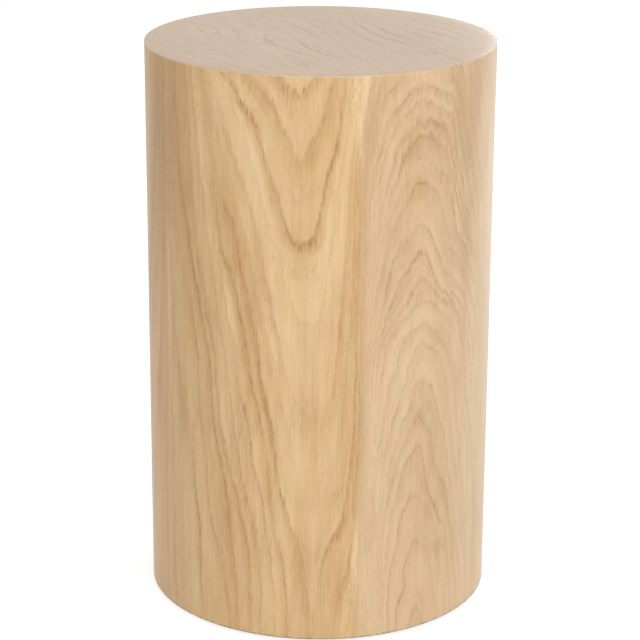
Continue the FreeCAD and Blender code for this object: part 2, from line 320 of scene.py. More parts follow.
# %% The growth ring group
growth_rings, given, result = new_group(
    "Growth Rings",
    [("Leaf", "Vector", None), ("Year", "Float", 0.0), ("Year Width", "Float", 15.0),
     ("Lean", "Float", 4.0), ("Wave", "Float", 3.5), ("Fray", "Float", 4.0),
     ("Line Width", "Float", 3.4), ("Seed", "Float", 0.0)],
    [("Year", "Float"), ("Strong", "Float"), ("Halo", "Float"), ("Late Wood", "Float")])
tree = growth_rings
place = leaf_millimetres(tree, given["Leaf"])


def bend_years(year, millimetres, size):
    """Shifts the year count by a noise; the shift is given in millimetres of wood."""
    shift = maths(tree, "SUBTRACT", patchy_noise(tree, place, size, given["Seed"], 1.0), 0.5)
    years = maths(tree, "DIVIDE", millimetres, given["Year Width"])
    return maths(tree, "MULTIPLY_ADD", shift, years, year)


leaning = bend_years(given["Year"], given["Lean"], LEAN_PATCH)
wavy = bend_years(leaning, given["Wave"], WAVE_PATCH)
frayed = bend_years(wavy, given["Fray"], FRAY_PATCH)
year_part = maths(tree, "FRACT", maths(tree, "ADD", frayed, 0.5))
past = times(tree, maths(tree, "SUBTRACT", year_part, 0.5), given["Year Width"])
feed(tree, result["Year"], frayed)
feed(tree, result["Strong"], times(tree, ease(tree, past, *LINE_STARTS),
                                   fade(tree, past, LINE_FADES_FROM, given["Line Width"])))
feed(tree, result["Halo"], times(tree, ease(tree, past, *HALO_STARTS),
                                 fade(tree, past, *HALO_FADES)))
feed(tree, result["Late Wood"], times(tree, ease(tree, past, *LATE_WOOD_STARTS),
                                      fade(tree, past, *LATE_WOOD_ENDS)))
print("growth rings:", len(tree.nodes), "nodes")

# %% [markdown]
# ## Wood fibre
#
# Fibre is what all the table's woods share: fine streaks along the grain, broader ribbons that
# drift in tone, and pores, the short dark dashes of cut vessels. A picture of wood could give
# them, but it would repeat and its scale would be fixed. Noises that are stretched along the
# fibre never repeat, and the sizes of the streaks and pores are inputs, so that coarse oak and
# fine birch can come from one group.

# %% The wood fibre group
RIBBON_SIZE = (6.0, 150.0)
DRIFT_SIZE = (30.0, 190.0)
PORES_WHERE = (0.62, 0.92)
wood_fibre, given, result = new_group(
    "Wood Fibre",
    [("Leaf", "Vector", None), ("Streak Width", "Float", 1.1), ("Streak Length", "Float", 60.0),
     ("Pore Width", "Float", 0.75), ("Pore Length", "Float", 6.0), ("Seed", "Float", 0.0)],
    [("Streaks", "Float"), ("Pores", "Float"), ("Ribbons", "Float"), ("Drift", "Float")])
tree = wood_fibre
place = leaf_millimetres(tree, given["Leaf"])


def fibre_noise(size, detail, roughness=0.5):
    """Noise with patches of a size in millimetres, spread to fill 0 to 1."""
    return ease(tree, patchy_noise(tree, place, size, given["Seed"], detail, roughness),
                *NOISE_RANGE, kind="LINEAR")


streaks = fibre_noise((given["Streak Width"], given["Streak Length"]), 3.0, 0.6)
vessels = fibre_noise((given["Pore Width"], given["Pore Length"]), 1.0)
feed(tree, result["Streaks"], streaks)
feed(tree, result["Pores"], ease(tree, vessels, *PORES_WHERE))
feed(tree, result["Ribbons"], fibre_noise(RIBBON_SIZE, 2.0))
feed(tree, result["Drift"], fibre_noise(DRIFT_SIZE, 2.0))
print("wood fibre:", len(tree.nodes), "nodes")

# %% [markdown]
# ## Oak, sliced and lacquered
#
# Oak is ring porous. Each year starts with a row of large open pores, which the knife opens into
# a dark dashed line, and goes on with dense, smooth wood. Ordinary years are faint and come and
# go, because the pores are fewer in some places. A few years stand out, because they were dry or
# wet. A Color Ramp over each year would be the quick way, but it makes all years alike.
#
# So the group takes the strong years as one mask, draws the ordinary ones itself where a noise
# that follows the rings crosses its middle, and breaks both into dashes along the fibre. It lays
# them over a ground that shifts between a pale, a tan and a rosy tone.

# %% Amounts in the oak group
WEAK_LINE_REACH = 0.75  # millimetres either side of a faint line
CROWDED_YEARS = 16.0
WIDE_YEARS = 38.0
WIDE_YEAR_INK = 0.15
PORES_ON_LINES = 1.1
PORES_BETWEEN = 0.16
TONE_SHARE = 0.2
DRIFT_SHARE = 0.12
RIBBON_SHARE = 0.22
EVEN_MIDDLE = 0.15
ROSY_SHARE = 0.7
LATE_WOOD_SHARE = 0.5
LINE_SHARE = 0.68
LACQUER_ROUGHNESS = 0.4
STREAK_ROUGHNESS = 0.05
PORE_ROUGHNESS = 0.18
STREAK_RELIEF = 0.3
print("a strong line hides up to", f"{LINE_SHARE:.0%}", "of the ground under it")

# %% Inputs of the oak group
oak_figure, given, result = new_group(
    "Oak Figure",
    [("Leaf", "Vector", None), ("Year", "Float", 0.0), ("Year Width", "Float", 15.0),
     ("Strong", "Float", 0.0), ("Late Wood", "Float", 0.0), ("Shade", "Float", 0.0),
     ("Weak Years", "Float", 4.0), ("Weak Ink", "Float", 0.5), ("Pore Ink", "Float", 0.5),
     ("Contrast", "Float", 1.0), ("Streak Contrast", "Float", 0.05), ("Seed", "Float", 0.0),
     ("Pale", "Color", (0.7, 0.5, 0.3, 1)), ("Rosy", "Color", (0.7, 0.5, 0.3, 1)),
     ("Tan", "Color", (0.5, 0.3, 0.15, 1)), ("Dark", "Color", (0.3, 0.15, 0.06, 1)),
     ("Rust", "Color", (0.4, 0.15, 0.06, 1)), ("Sapwood", "Color", (0.9, 0.8, 0.6, 1))],
    [("Color", "Color"), ("Roughness", "Float"), ("Height", "Float")])
tree = oak_figure
fibre = use_group(tree, wood_fibre, leaf=given["Leaf"], seed=given["Seed"])
place = leaf_millimetres(tree, given["Leaf"])


def leaf_noise(width, length, shift, low, high):
    """Patches of a width and length in millimetres, from 0 to 1; shift tells them from others."""
    seed = maths(tree, "ADD", given["Seed"], shift)
    return ease(tree, patchy_noise(tree, place, (width, length), seed, 1.5), low, high)


def ring_noise(years, length, width, shift, detail):
    """Noise that follows the rings: it changes with the years, and slowly along them."""
    seed = maths(tree, "ADD", given["Seed"], shift)
    return noise(tree, join_vector(
        tree, times(tree, given["Year"], years), maths(tree, "DIVIDE", place[1], length),
        maths(tree, "ADD", maths(tree, "DIVIDE", place[0], width), seed)), detail)


# %% Lines of the oak group
year_noise = ring_noise(given["Weak Years"], length=90.0, width=40.0, shift=0.0, detail=1.0)
off_middle = maths(tree, "ABSOLUTE", maths(tree, "SUBTRACT", year_noise, 0.5))
from_line = times(tree, off_middle, maths(tree, "DIVIDE", given["Year Width"],
                                          given["Weak Years"]))
weak_line = fade(tree, from_line, 0.0, WEAK_LINE_REACH)
many_pores = leaf_noise(22.0, 60.0, 5.1, 0.38, 0.66)
off_heart = ease(tree, given["Year Width"], CROWDED_YEARS, WIDE_YEARS, 1.0, WIDE_YEAR_INK)
weak = times(tree, weak_line, many_pores, given["Weak Ink"], off_heart)
come_and_go = leaf_noise(12.0, 40.0, 9.4, *NOISE_MIDDLE)
strong = times(tree, given["Strong"], spread(tree, come_and_go, 0.7, 1.1))
dashes = leaf_noise(1.0, 9.0, 3.7, *NOISE_MIDDLE)
lines = times(tree, maths(tree, "MAXIMUM", weak, strong), spread(tree, dashes, 0.25, 1.25),
              clamp=True)
porous = times(tree, fibre["Pores"], maths(
    tree, "MULTIPLY_ADD", lines, PORES_ON_LINES, PORES_BETWEEN), clamp=True)
print("lines of the oak:", len(tree.nodes), "nodes so far")

# %% Ground of the oak group
tone = ease(tree, ring_noise(1.3, length=320.0, width=110.0, shift=2.3, detail=1.5), 0.34, 0.66)
ribbons = times(tree, fibre["Ribbons"], RIBBON_SHARE)
drift = maths(tree, "MULTIPLY_ADD", fibre["Drift"], DRIFT_SHARE, ribbons)
even = maths(tree, "MULTIPLY_ADD", tone, TONE_SHARE, drift)
by_fibre = spread(tree, leaf_noise(2.0, 26.0, 31.3, *NOISE_MIDDLE), 0.85, 1.15)
tan_amount = times(tree, maths(tree, "MULTIPLY_ADD", given["Shade"], by_fibre,
                               maths(tree, "SUBTRACT", even, EVEN_MIDDLE)), given["Contrast"])
rosy_patches = leaf_noise(12.0, 110.0, 14.9, 0.42, 0.7)
ground = blend_colour(tree, times(tree, rosy_patches, ROSY_SHARE), given["Pale"], given["Rosy"])
sapwood = blend_colour(tree, ease(tree, given["Shade"], -0.2, -1.0), ground, given["Sapwood"])
late_amount = times(tree, given["Late Wood"], LATE_WOOD_SHARE, given["Contrast"])
late = blend_colour(tree, late_amount, sapwood, given["Sapwood"])
tanned = blend_colour(tree, tan_amount, late, given["Tan"])
print("ground of the oak:", len(tree.nodes), "nodes so far")

# %% Ink, sheen and relief of the oak group
rust_patches = leaf_noise(16.0, 60.0, 22.3, 0.4, 0.62)
ink_colour = blend_colour(tree, rust_patches, given["Dark"], given["Rust"])
deepest = blend_colour(tree, ease(tree, tan_amount, 0.9, 2.2, 0.0, 0.4), tanned, ink_colour)
line_amount = times(tree, lines, LINE_SHARE, given["Contrast"])
lined = blend_colour(tree, line_amount, deepest, ink_colour)
pore_amount = times(tree, porous, given["Pore Ink"], given["Contrast"])
dotted = blend_colour(tree, pore_amount, lined, ink_colour)
darkest = maths(tree, "SUBTRACT", 1.0, given["Streak Contrast"])
lightest = maths(tree, "ADD", 1.0, given["Streak Contrast"])
streak = ease(tree, fibre["Streaks"], 0.0, 1.0, darkest, lightest, "LINEAR")
feed(tree, result["Color"], blend_colour(tree, 1.0, dotted, join_vector(
    tree, streak, streak, streak), "MULTIPLY"))
feed(tree, result["Roughness"], maths(tree, "MULTIPLY_ADD", porous, PORE_ROUGHNESS, maths(
    tree, "MULTIPLY_ADD", fibre["Streaks"], STREAK_ROUGHNESS, LACQUER_ROUGHNESS)))
feed(tree, result["Height"], maths(
    tree, "SUBTRACT", times(tree, fibre["Streaks"], STREAK_RELIEF), porous))
print("oak figure:", len(tree.nodes), "nodes")

# %% [markdown]
# ## Edge marks, with painted shade at the foot
#
# Three edges get a colour of their own. The rim is made a little paler, and a seam shows as a dark
# hairline. The foot gets a grey line of painted shade, which stands in for the shadow in the
# narrow gap between the wall and the floor. Pointiness could find such edges, but it depends on
# how fine the mesh is. The distance from an edge doesn't, so one group makes the mask for all
# three from
# it: full at the edge, and gone at a width that a noise makes uneven.

# %% The edge band group, which also gives the painted shade at the foot
UNEVEN_PER_METRE = 160.0
UNEVEN_WIDTHS = (0.45, 1.5)
edge_band, given, result = new_group(
    "Edge Band",
    [("Leaf", "Vector", None), ("Distance", "Float", 1.0), ("Width", "Float", 1.0),
     ("Seed", "Float", 0.0)],
    [("Mask", "Float")])
tree = edge_band
moved = node(tree, "ShaderNodeVectorMath", operation="ADD")
feed(tree, moved.inputs[0], scale_vector(tree, given["Leaf"], UNEVEN_PER_METRE))
feed(tree, moved.inputs[1], join_vector(tree, 0.0, 0.0, given["Seed"]))
uneven = ease(tree, noise(tree, moved.outputs[0]), *NOISE_RANGE, *UNEVEN_WIDTHS)
reach = times(tree, given["Width"], uneven)
feed(tree, result["Mask"], fade(tree, maths(tree, "DIVIDE", given["Distance"], reach), 0.0, 1.0))
print("edge band:", len(tree.nodes), "nodes")

# %% [markdown]
# ## Drawing the strong years
#
# A veneer leaf is a one-off. A noise can bend rings into arches, but it gives other arches with
# every seed. So the strong years of the two leaves at the front are drawn, as an artist
# would. A drawing has a heart line, on which all arches have their tips, and the arches
# themselves, innermost first. Each arch has the height of its tip, a shade for the wood beside
# it, and a left and a right limb. A point of a limb is (height, arc, ink): height above the floor
# and arc from the leaf's middle in millimetres, and how dark the line is there. A patch is a soft
# spot of another shade: (arc, height, half width, half length, shade).
#
# The first two lines of a drawing are the leaf's own values: "opens" is 1 where the arches open
# upwards and -1 where they open downwards, "lengthways" belongs to the width of a year, which
# comes after the field, and the others go to the groups above.

# %% The leaf at the front left: arches that point down
PLUMES = dict(
    opens=1, lengthways=4.0, lean=4.0, wave=3.5, fray=3.6, line_width=3.4, halo=0.5,
    weak_years=2.0, weak_ink=0.32, pore_ink=0.42, contrast=1.0,
    # The broad patch at the foot, (50, 10, 60, 45, -.2), is painted light: it makes the lowest
    # part of the wall paler and less tan, for the paleness that the white floor lends it.
    patches=[(-84, 226, 9, 40, .35), (-88, 525, 16, 80, .7), (-108, 500, 14, 110, .7),
             (-95, 300, 10, 260, .15), (-77, 455, 8, 30, .2), (-48, 500, 14, 60, -.15),
             (-17, 340, 8, 50, -.35), (-12, 400, 11, 45, .3), (-14, 460, 8, 20, .2),
             (20, 470, 14, 60, -.1), (28, 90, 16, 80, -.3), (65, 55, 7, 40, -.15),
             (38, 110, 8, 80, -.3), (13, 215, 7, 30, -.3), (-28, 215, 22, 60, -.2),
             (-77, 400, 9, 60, .25), (62, 255, 26, 62, .4), (66, 222, 20, 30, .15),
             (64, 165, 12, 22, .35), (80, 540, 8, 30, .3), (80, 350, 6, 60, .2),
             (89, 500, 6, 40, .2), (89, 310, 8, 100, .3), (90, 67, 9, 22, .15),
             (13, 400, 9, 70, .2), (88, 60, 9, 60, -.1), (90, 252, 4, 25, .2),
             (104, 330, 8, 150, .2), (106, 450, 4, 60, .4), (108, 95, 6, 42, -1),
             (111, 560, 5.5, 60, -1.5), (50, 10, 60, 45, -.2), (53, 427, 15, 10, .12),
             (-74, 450, 7, 35, .25), (-68, 400, 7, 35, .25), (-61, 350, 8, 35, .25),
             (-72, 310, 9, 40, .2), (12, 545, 9, 30, .2), (-14, 480, 9, 35, .15),
             (64, 320, 12, 25, .15), (14, 150, 9, 50, -.18), (90, 112, 8, 20, -.2),
             (40, 465, 9, 25, -.2), (40, 110, 12, 90, -.12)],
    heart=[(0, 63), (55, 65), (140, 66), (240, 66), (330, 58), (412, 53), (490, 50), (575, 49)],
    arches=[
        (553, .35,
         [(553, 48, .5), (563, 38, .6), (575, 31, .5)],
         [(553, 50, .5), (564, 58, .5), (575, 70, .5)]),
        (490, .35,
         [(490, 48, .3), (512, 40, .3), (530, 33, .5), (545, 28, .6), (556, 18, .6),
          (572, 5, .5)],
         [(490, 52, .4), (503, 60, .5), (525, 68, .4), (545, 75, .3), (575, 84, .3)]),
        (410, .3,
         [(410, 48, 1.1), (422, 38, .8), (440, 34, .7), (458, 30, .7), (480, 22, .7),
          (502, 17, .8), (518, 12, .8), (535, 4, .8), (542, -6, .9), (552, -13, .8),
          (566, -17, .7), (571, -30, .5)],
         [(410, 60, 1.1), (425, 68, 1), (450, 73, .7), (480, 78, .8), (502, 84, 1), (520, 89, .7),
          (550, 91, .7), (575, 96, .6)]),
        (330, 0,
         [(330, 50, .1), (350, 44, .1), (380, 35, .1), (400, 31, .1), (420, 25, .1),
          (440, 20, .1), (480, 8, .1), (510, -2, .1), (540, -12, .1), (575, -22, .1)],
         [(330, 66, .1), (350, 74, .1), (400, 80, .1), (450, 86, .1), (500, 93, .1),
          (575, 99, .1)]),
        (235, .15,
         [(235, 64, .1), (245, 52, .1), (262, 40, .1), (300, 31, .2), (320, 28, .4),
          (350, 24, .5), (380, 16, .5), (410, 12, .3), (440, 5, .3), (462, -2, .4),
          (485, -12, .5), (505, -21, .5), (525, -30, .5), (550, -38, .2), (575, -42, .1)],
         [(235, 70, .1), (245, 80, .1), (262, 86, .3), (300, 90, .5), (340, 92, .5),
          (380, 95, .5), (420, 98, .5), (450, 99, .5), (500, 103, .3), (575, 106, .3)]),
        (150, .15,
         [(150, 60, .1), (165, 50, .1), (210, 42, .1), (235, 40, .1), (262, 34, .1),
          (300, 25, .1), (350, 14, .1), (400, 3, .1), (450, -12, .1), (500, -27, .1),
          (575, -45, .1)],
         [(150, 72, .1), (165, 80, .1), (200, 88, .1), (240, 93, .1), (300, 97, .1),
          (400, 103, .1)]),
        (8, .6,
         [(8, 62, .3), (40, 61, .4), (70, 59, .5), (90, 56, .6), (108, 51, .5), (125, 42, .6),
          (145, 36, .7), (160, 31, .8), (200, 27, .8), (232, 24, .9), (250, 18, .9),
          (270, 14, .7), (300, 11, .7), (325, 6, .7), (350, 1, .6), (375, -3, .7), (405, -8, .8),
          (430, -14, .6), (447, -24, .5), (470, -30, .2), (575, -48, .1)],
         [(8, 65, .1), (40, 68, .2), (70, 70, .4), (95, 74, .6), (110, 82, .9), (120, 92, .8),
          (133, 98, .7), (160, 100, .5), (180, 102, .7), (200, 104, .7), (230, 107, .7),
          (262, 108, .6), (330, 109, .4)]),
        (-10, .65,
         [(5, 40, .4), (50, 38, .6), (80, 37, .7), (97, 33, .6), (120, 26, .3), (160, 22, .3),
          (200, 19, .3), (245, 12, .8), (262, 7, .8), (285, 2, .6), (305, -1, .7), (330, -6, .9),
          (350, -10, .8), (362, -12, .7), (382, -20, .6), (395, -30, .5), (430, -34, .2),
          (575, -55, .1)],
         [(0, 84, .2), (30, 88, .3), (50, 92, .4), (62, 97, .4), (80, 102, .5), (110, 104, .5),
          (140, 106, .4), (200, 109, .3)]),
        (-60, .3,
         [(5, 28, .3), (40, 27, .4), (80, 24, .3), (110, 21, .4), (125, 20, .6), (145, 17, .5),
          (168, 11, .6), (190, 6, .6), (212, 3, .7), (238, -3, .7), (258, -10, .5),
          (290, -14, .2), (310, -18, .3), (335, -23, .4), (370, -29, .2), (575, -60, .1)],
         [(5, 98, .2), (30, 103, .3), (60, 107, .3), (100, 111, .3)]),
        (-110, .4,
         [(5, 12, .3), (60, 13, .5), (90, 12, .6), (105, 8, .6), (120, 5, .6), (140, 0, .6),
          (160, -5, .6), (180, -8, .6), (195, -12, .7), (215, -16, .7), (235, -17, .6),
          (280, -22, .2), (340, -32, .3), (420, -45, .3), (500, -57, .3), (575, -64, .3)],
         [(0, 106, .2), (100, 118, .2)]),
        (-160, .45,
         [(5, 3, .3), (50, 2, .4), (85, 1, .5), (103, -1, .6), (120, -6, .6), (140, -11, .6),
          (158, -15, .6), (180, -22, .4), (215, -33, .4), (290, -38, .4), (330, -46, .4),
          (400, -60, .2), (575, -72, .3)],
         [(0, 112, .2)]),
        (-220, .65,
         [(5, -13, .4), (60, -14, .5), (100, -19, .6), (130, -21, .7), (165, -25, .9),
          (195, -31, .8), (220, -37, .9), (250, -39, .9), (290, -42, .8), (315, -47, .8),
          (335, -52, .9), (355, -58, .9), (385, -66, .9), (415, -72, .9), (450, -81, .8),
          (480, -86, .6), (520, -89, .5), (575, -90, .6)],
         [(0, 118, .2)]),
        (-330, .45,
         [(5, -20, .3), (30, -22, .4), (60, -27, .5), (90, -35, .4), (110, -43, .4),
          (130, -47, .3), (190, -50, .3), (210, -52, .6), (225, -56, .6), (250, -58, .5),
          (290, -58, .7), (305, -60, .8), (322, -64, .6), (360, -76, .2), (440, -94, .2),
          (575, -100, .2)],
         [(0, 124, .2)]),
        (-430, .4,
         [(5, -55, .2), (55, -57, .5), (80, -58, .8), (105, -58, .8), (125, -62, .7),
          (150, -65, .7), (180, -67, .6), (195, -70, .3), (240, -84, .6), (270, -90, .5),
          (330, -98, .2), (450, -107, .3), (575, -110, .3)],
         [(0, 130, .2)]),
        (-560, .4,
         [(5, -100, .2), (60, -103, .5), (120, -103, .4), (200, -102, .3), (300, -108, .1)],
         [(0, 136, .2)]),
    ])
print("arches drawn at the front left:", len(PLUMES["arches"]))

# %% The leaf at the front right: arches that point up
PEAKS = dict(
    opens=-1, lengthways=3.0, lean=8.0, wave=4.4, fray=2.2, line_width=2.4, halo=0.45,
    weak_years=2.0, weak_ink=0.3, pore_ink=0.26, contrast=0.98,
    # The broad patch at the foot, (-80, 10, 40, 50, -.15), is painted light: it makes the lowest
    # part of the wall paler and less tan, for the paleness that the white floor lends it.
    patches=[(-111, 585, 4.5, 50, -1.2), (-110, 310, 6, 150, .8), (-97, 550, 6, 45, .6),
             (-104, 500, 6, 60, .35), (-79, 560, 8, 40, .5), (-79, 365, 9, 30, .25),
             (-106, 535, 5, 30, .4), (-104, 55, 7, 50, -.6), (-79, 190, 10, 60, .25),
             (-51, 190, 16, 60, .3), (-20, 225, 18, 60, .35), (18, 390, 8, 70, .5),
             (-80, 10, 40, 50, -.15), (-63, 496, 5, 13, .35), (-49, 460, 14, 9, .35),
             (-23, 312, 18, 12, .35), (-43, 236, 8, 8, .4), (-19, 133, 9, 12, .4),
             (-109, 225, 4.5, 75, .5), (-111, 440, 4, 60, .5), (-99, 215, 3, 70, -.4),
             (-3, 548, 5, 32, .5), (12, 480, 6, 26, .45), (-32, 143, 8, 40, .35),
             (23, 425, 6, 15, .6), (-17, 83, 9, 7, .6), (-37, 31, 5, 9, .4),
             (-87, 150, 3, 60, -.4), (-93, 26, 3, 25, -.4), (-58, 505, 5, 9, .7),
             (-84, 375, 4, 14, .4), (40, 200, 20, 240, -.2), (-100, 250, 8, 160, -.2),
             (-30, 505, 22, 22, .35), (-20, 470, 50, 110, .15), (28, 535, 14, 60, .9),
             (6, 520, 10, 50, .4), (-20, 110, 50, 90, .25), (-70, 420, 14, 60, .2)],
    heart=[(0, -45), (60, -46), (105, -50), (150, -50), (207, -43), (238, -47), (272, -46),
           (322, -44), (370, -45), (402, -50), (470, -47), (518, -48), (545, -54), (575, -56)],
    arches=[
        (100, .2,
         [(5, -69, .3), (25, -68, .5), (40, -65, .6), (50, -59, .7), (62, -61, .7), (72, -62, .6),
          (82, -57, .7), (95, -55, .5)],
         [(5, -18, .1), (60, -24, .3), (80, -26, .3), (100, -44, .1)]),
        (150, .05,
         [(5, -80, .2), (60, -79, .3), (95, -72, .6), (105, -68, .6), (120, -67, .7),
          (133, -65, .8), (140, -59, .6), (148, -53, .4)],
         [(5, -4, .1), (60, -10, .1), (110, -20, .2), (125, -24, .2), (140, -36, .1),
          (150, -48, .1)]),
        (207, .15,
         [(5, -84, .2), (100, -82, .2), (150, -73, .5), (158, -70, .8), (170, -67, .6),
          (178, -60, .7), (190, -55, .5), (203, -47, .5)],
         [(5, 8, .1), (100, -6, .2), (125, -23, .9), (137, -28, .8), (148, -33, .8),
          (160, -36, .7), (180, -37, .7), (195, -40, .5)]),
        (239, .15,
         [(5, -88, .2), (120, -85, .2), (170, -76, .3), (210, -60, .3), (230, -53, .6),
          (238, -49, .9)],
         [(5, 18, .1), (135, -3, .8), (145, -6, .7), (152, -11, .7), (165, -22, .3),
          (180, -28, .5), (205, -29, .8), (215, -31, .8), (225, -35, .6), (232, -40, .9)]),
        (272, .1,
         [(5, -92, .2), (150, -88, .2), (220, -66, .2), (250, -56, .5), (262, -54, .4),
          (270, -48, .4)],
         [(5, 28, .1), (100, 12, .2), (180, -4, .4), (200, -12, .3), (235, -22, .3),
          (252, -28, .5), (260, -32, .5), (270, -40, .4)]),
        (303, .15,
         [(150, -92, .2), (225, -78, .5), (236, -75, .7), (248, -69, .6), (262, -64, .3),
          (290, -55, .3), (300, -48, .4)],
         [(5, 38, .1), (100, 24, .2), (165, 8, .4), (190, 4, .3), (230, -2, .3), (270, -12, .3),
          (297, -18, .6), (302, -30, .5)]),
        (324, .15,
         [(200, -93, .2), (260, -84, .3), (300, -68, .3), (318, -58, .4), (323, -48, .3)],
         [(5, 46, .1), (150, 22, .3), (200, 14, .3), (260, 2, .2), (300, -10, .2), (316, -28, .3),
          (322, -40, .4)]),
        (348, .1,
         [(220, -96, .2), (280, -90, .4), (310, -84, .4), (327, -73, .3), (340, -62, .4),
          (346, -52, .4)],
         [(100, 40, .2), (190, 30, .5), (205, 25, .6), (260, 16, .3), (310, 2, .2),
          (335, -14, .5), (340, -24, .5), (346, -38, .4)]),
        (371, .3,
         [(250, -99, .2), (300, -93, .4), (325, -80, .5), (345, -66, .6), (355, -61, .6),
          (365, -53, .5), (370, -48, .6)],
         [(150, 48, .2), (235, 24, .5), (280, 20, .6), (320, 8, .4), (340, -3, .5),
          (352, -20, .5), (358, -30, .6), (366, -38, .5)]),
        (403, .2,
         [(300, -99, .4), (315, -93, .5), (330, -87, .5), (345, -81, .5), (360, -76, .6),
          (375, -70, .7), (385, -62, .7), (395, -55, .8), (402, -51, .8)],
         [(200, 52, .2), (280, 30, .3), (320, 20, .3), (345, 2, .4), (355, -18, .5),
          (370, -28, .7), (382, -32, .7), (392, -38, .5), (398, -45, .4)]),
        (427, .1,
         [(300, -102, .3), (345, -90, .4), (363, -85, .8), (387, -81, .8), (400, -76, .4),
          (410, -70, .4), (420, -60, .3), (426, -52, .3)],
         [(250, 50, .2), (320, 28, .3), (350, 12, .3), (375, -10, .2), (388, -22, .9),
          (398, -28, .8), (410, -35, .8), (420, -42, .7)]),
        (471, .35,
         [(340, -99, .2), (380, -90, .3), (420, -82, .3), (440, -73, .4), (452, -66, .6),
          (458, -60, .7), (465, -55, .8), (470, -50, .7)],
         [(300, 50, .2), (370, 16, .4), (400, -4, .3), (430, -15, .3), (450, -22, .4),
          (462, -32, .4), (468, -40, .7)]),
        (495, .2,
         [(360, -102, .2), (400, -93, .3), (450, -79, .3), (480, -67, .3), (494, -52, .3)],
         [(320, 52, .2), (376, 21, .5), (388, 14, .5), (403, 6, .8), (412, 0, .8), (430, -4, .8),
          (455, -8, .8), (465, -13, .7), (473, -16, .6), (478, -25, .5), (484, -35, .2)]),
        (518, .25,
         [(400, -98, .3), (450, -85, .3), (478, -74, .8), (492, -69, 1.2), (505, -62, 1.3),
          (513, -57, 1.1), (517, -51, .9)],
         [(350, 50, .3), (400, 22, .6), (440, 2, .5), (480, -8, .4), (490, -16, .3),
          (500, -25, .4), (506, -31, .6), (512, -38, .8), (517, -45, .8)]),
        (526, .3,
         [(400, -100, .3), (450, -90, .3), (500, -76, .3), (515, -66, .3), (524, -55, .4)],
         [(350, 54, .3), (412, 14, .8), (450, 0, .8), (495, -9, .8), (503, -12, .7),
          (512, -16, .8), (519, -20, .9), (521, -30, .8), (525, -42, .5)]),
        (545, .15,
         [(450, -98, .3), (490, -92, .5), (501, -88, .6), (525, -80, .5), (535, -69, .5),
          (543, -62, .8), (545, -57, .8)],
         [(400, 30, .2), (450, 12, .3), (500, -4, .6), (530, -9, .6), (538, -28, .4),
          (541, -36, .5), (543, -48, .4)]),
        (563, .1,
         [(450, -102, .3), (491, -97, .5), (501, -90, .4), (525, -82, .6), (545, -76, .6),
          (552, -68, .6), (558, -64, .6), (562, -59, .5)],
         [(420, 36, .2), (470, 14, .3), (520, -2, .5), (550, -10, .5), (556, -20, .5),
          (558, -35, .5), (560, -50, .4)]),
        (600, .3,
         [(480, -106, .3), (530, -100, .4), (545, -92, .4), (563, -80, .4), (575, -72, .4)],
         [(450, 40, .2), (500, 14, .3), (540, 0, .5), (575, -8, .6)]),
        (640, .2,
         [(500, -108, .3), (575, -90, .3)],
         [(420, 60, .1), (480, 36, .2), (540, 14, .3), (575, 2, .5)]),
        (690, .1,
         [(520, -110, .2), (575, -100, .4)],
         [(480, 56, .1), (540, 32, .3), (575, 16, .2)]),
    ])
print("arches drawn at the front right:", len(PEAKS["arches"]))

# %% [markdown]
# ## From a drawing to a field
#
# The arches could be laid on the leaf as curves, but then only the drawn ones would be there. As
# a field they carry the wood between them too: from one arch to the next the year number, the ink
# and the shade run evenly, at each height. So the faint years in between, which nobody draws,
# follow the strong ones by themselves.

# %% The field of a drawing
LEAST_YEAR_WIDTH = 1.5
OUTER_YEAR_WIDTH = 12.0
HEART_YEAR_LENGTH = 60


def arch_field(drawing, arc, height):
    """Year number, ink and shade at each arc and height, all in millimetres.

    On the heart line the three are those of the arch whose tip is at that height, and inside the
    innermost arch the count goes on by one year for every 60 mm. From the heart the sum goes
    outwards, limb by limb: the part of each gap that a point has passed, from 0 to 1, times the
    step in number, ink and shade across that gap. Outside the last limb a year is 12 mm wide.
    Patches are bell-shaped spots that are added to the shade.
    """
    opens = drawing["opens"]
    arches = drawing["arches"]
    tips = np.array([tip for tip, _, _, _ in arches], dtype=float)
    order = np.argsort(tips)
    at_tips = (np.arange(len(arches), dtype=float),
               np.array([left[-1 if opens < 0 else 0][2] for _, _, left, _ in arches]),
               np.array([shade for _, shade, _, _ in arches], dtype=float))
    start = [np.interp(height, tips[order], values[order]) for values in at_tips]
    start[0] -= np.maximum(opens * (height - tips[0]), 0) / HEART_YEAR_LENGTH
    heart = np.interp(height, *np.transpose(drawing["heart"]))
    total = [value.copy() for value in start]
    for side in (-1, 1):
        place = heart
        last = start
        for number, (tip, shade, left, right) in enumerate(arches):
            heights, arcs, inks = np.transpose(left if side < 0 else right)
            open_here = opens * (height - tip) > 0
            limb = side * np.maximum(side * np.interp(height, heights, arcs),
                                     side * place + LEAST_YEAR_WIDTH)
            here = (number, np.interp(height, heights, inks), shade)
            target = np.where(open_here, limb, place)
            gap = np.maximum(side * (target - place), 1e-6)
            passed = np.clip(side * (arc - place) / gap, 0, 1)
            step = [np.where(open_here, value, before) for value, before in zip(here, last)]
            for index in range(3):
                total[index] += (step[index] - last[index]) * passed
            place, last = target, step
        total[0] += np.maximum(side * (arc - place), 0) / OUTER_YEAR_WIDTH
    for middle, level, half_width, half_length, shade in drawing["patches"]:
        total[2] += shade * np.exp(-((arc - middle) / half_width) ** 2
                                   - ((height - level) / half_length) ** 2)
    return np.array(total)


for drawing_name, drawing in (("left", PLUMES), ("right", PEAKS)):
    middle_year = arch_field(drawing, np.array([0.0]), np.array([300.0]))[0, 0]
    print(f"year in the middle of the {drawing_name} leaf, 300 mm up: {middle_year:.2f}")

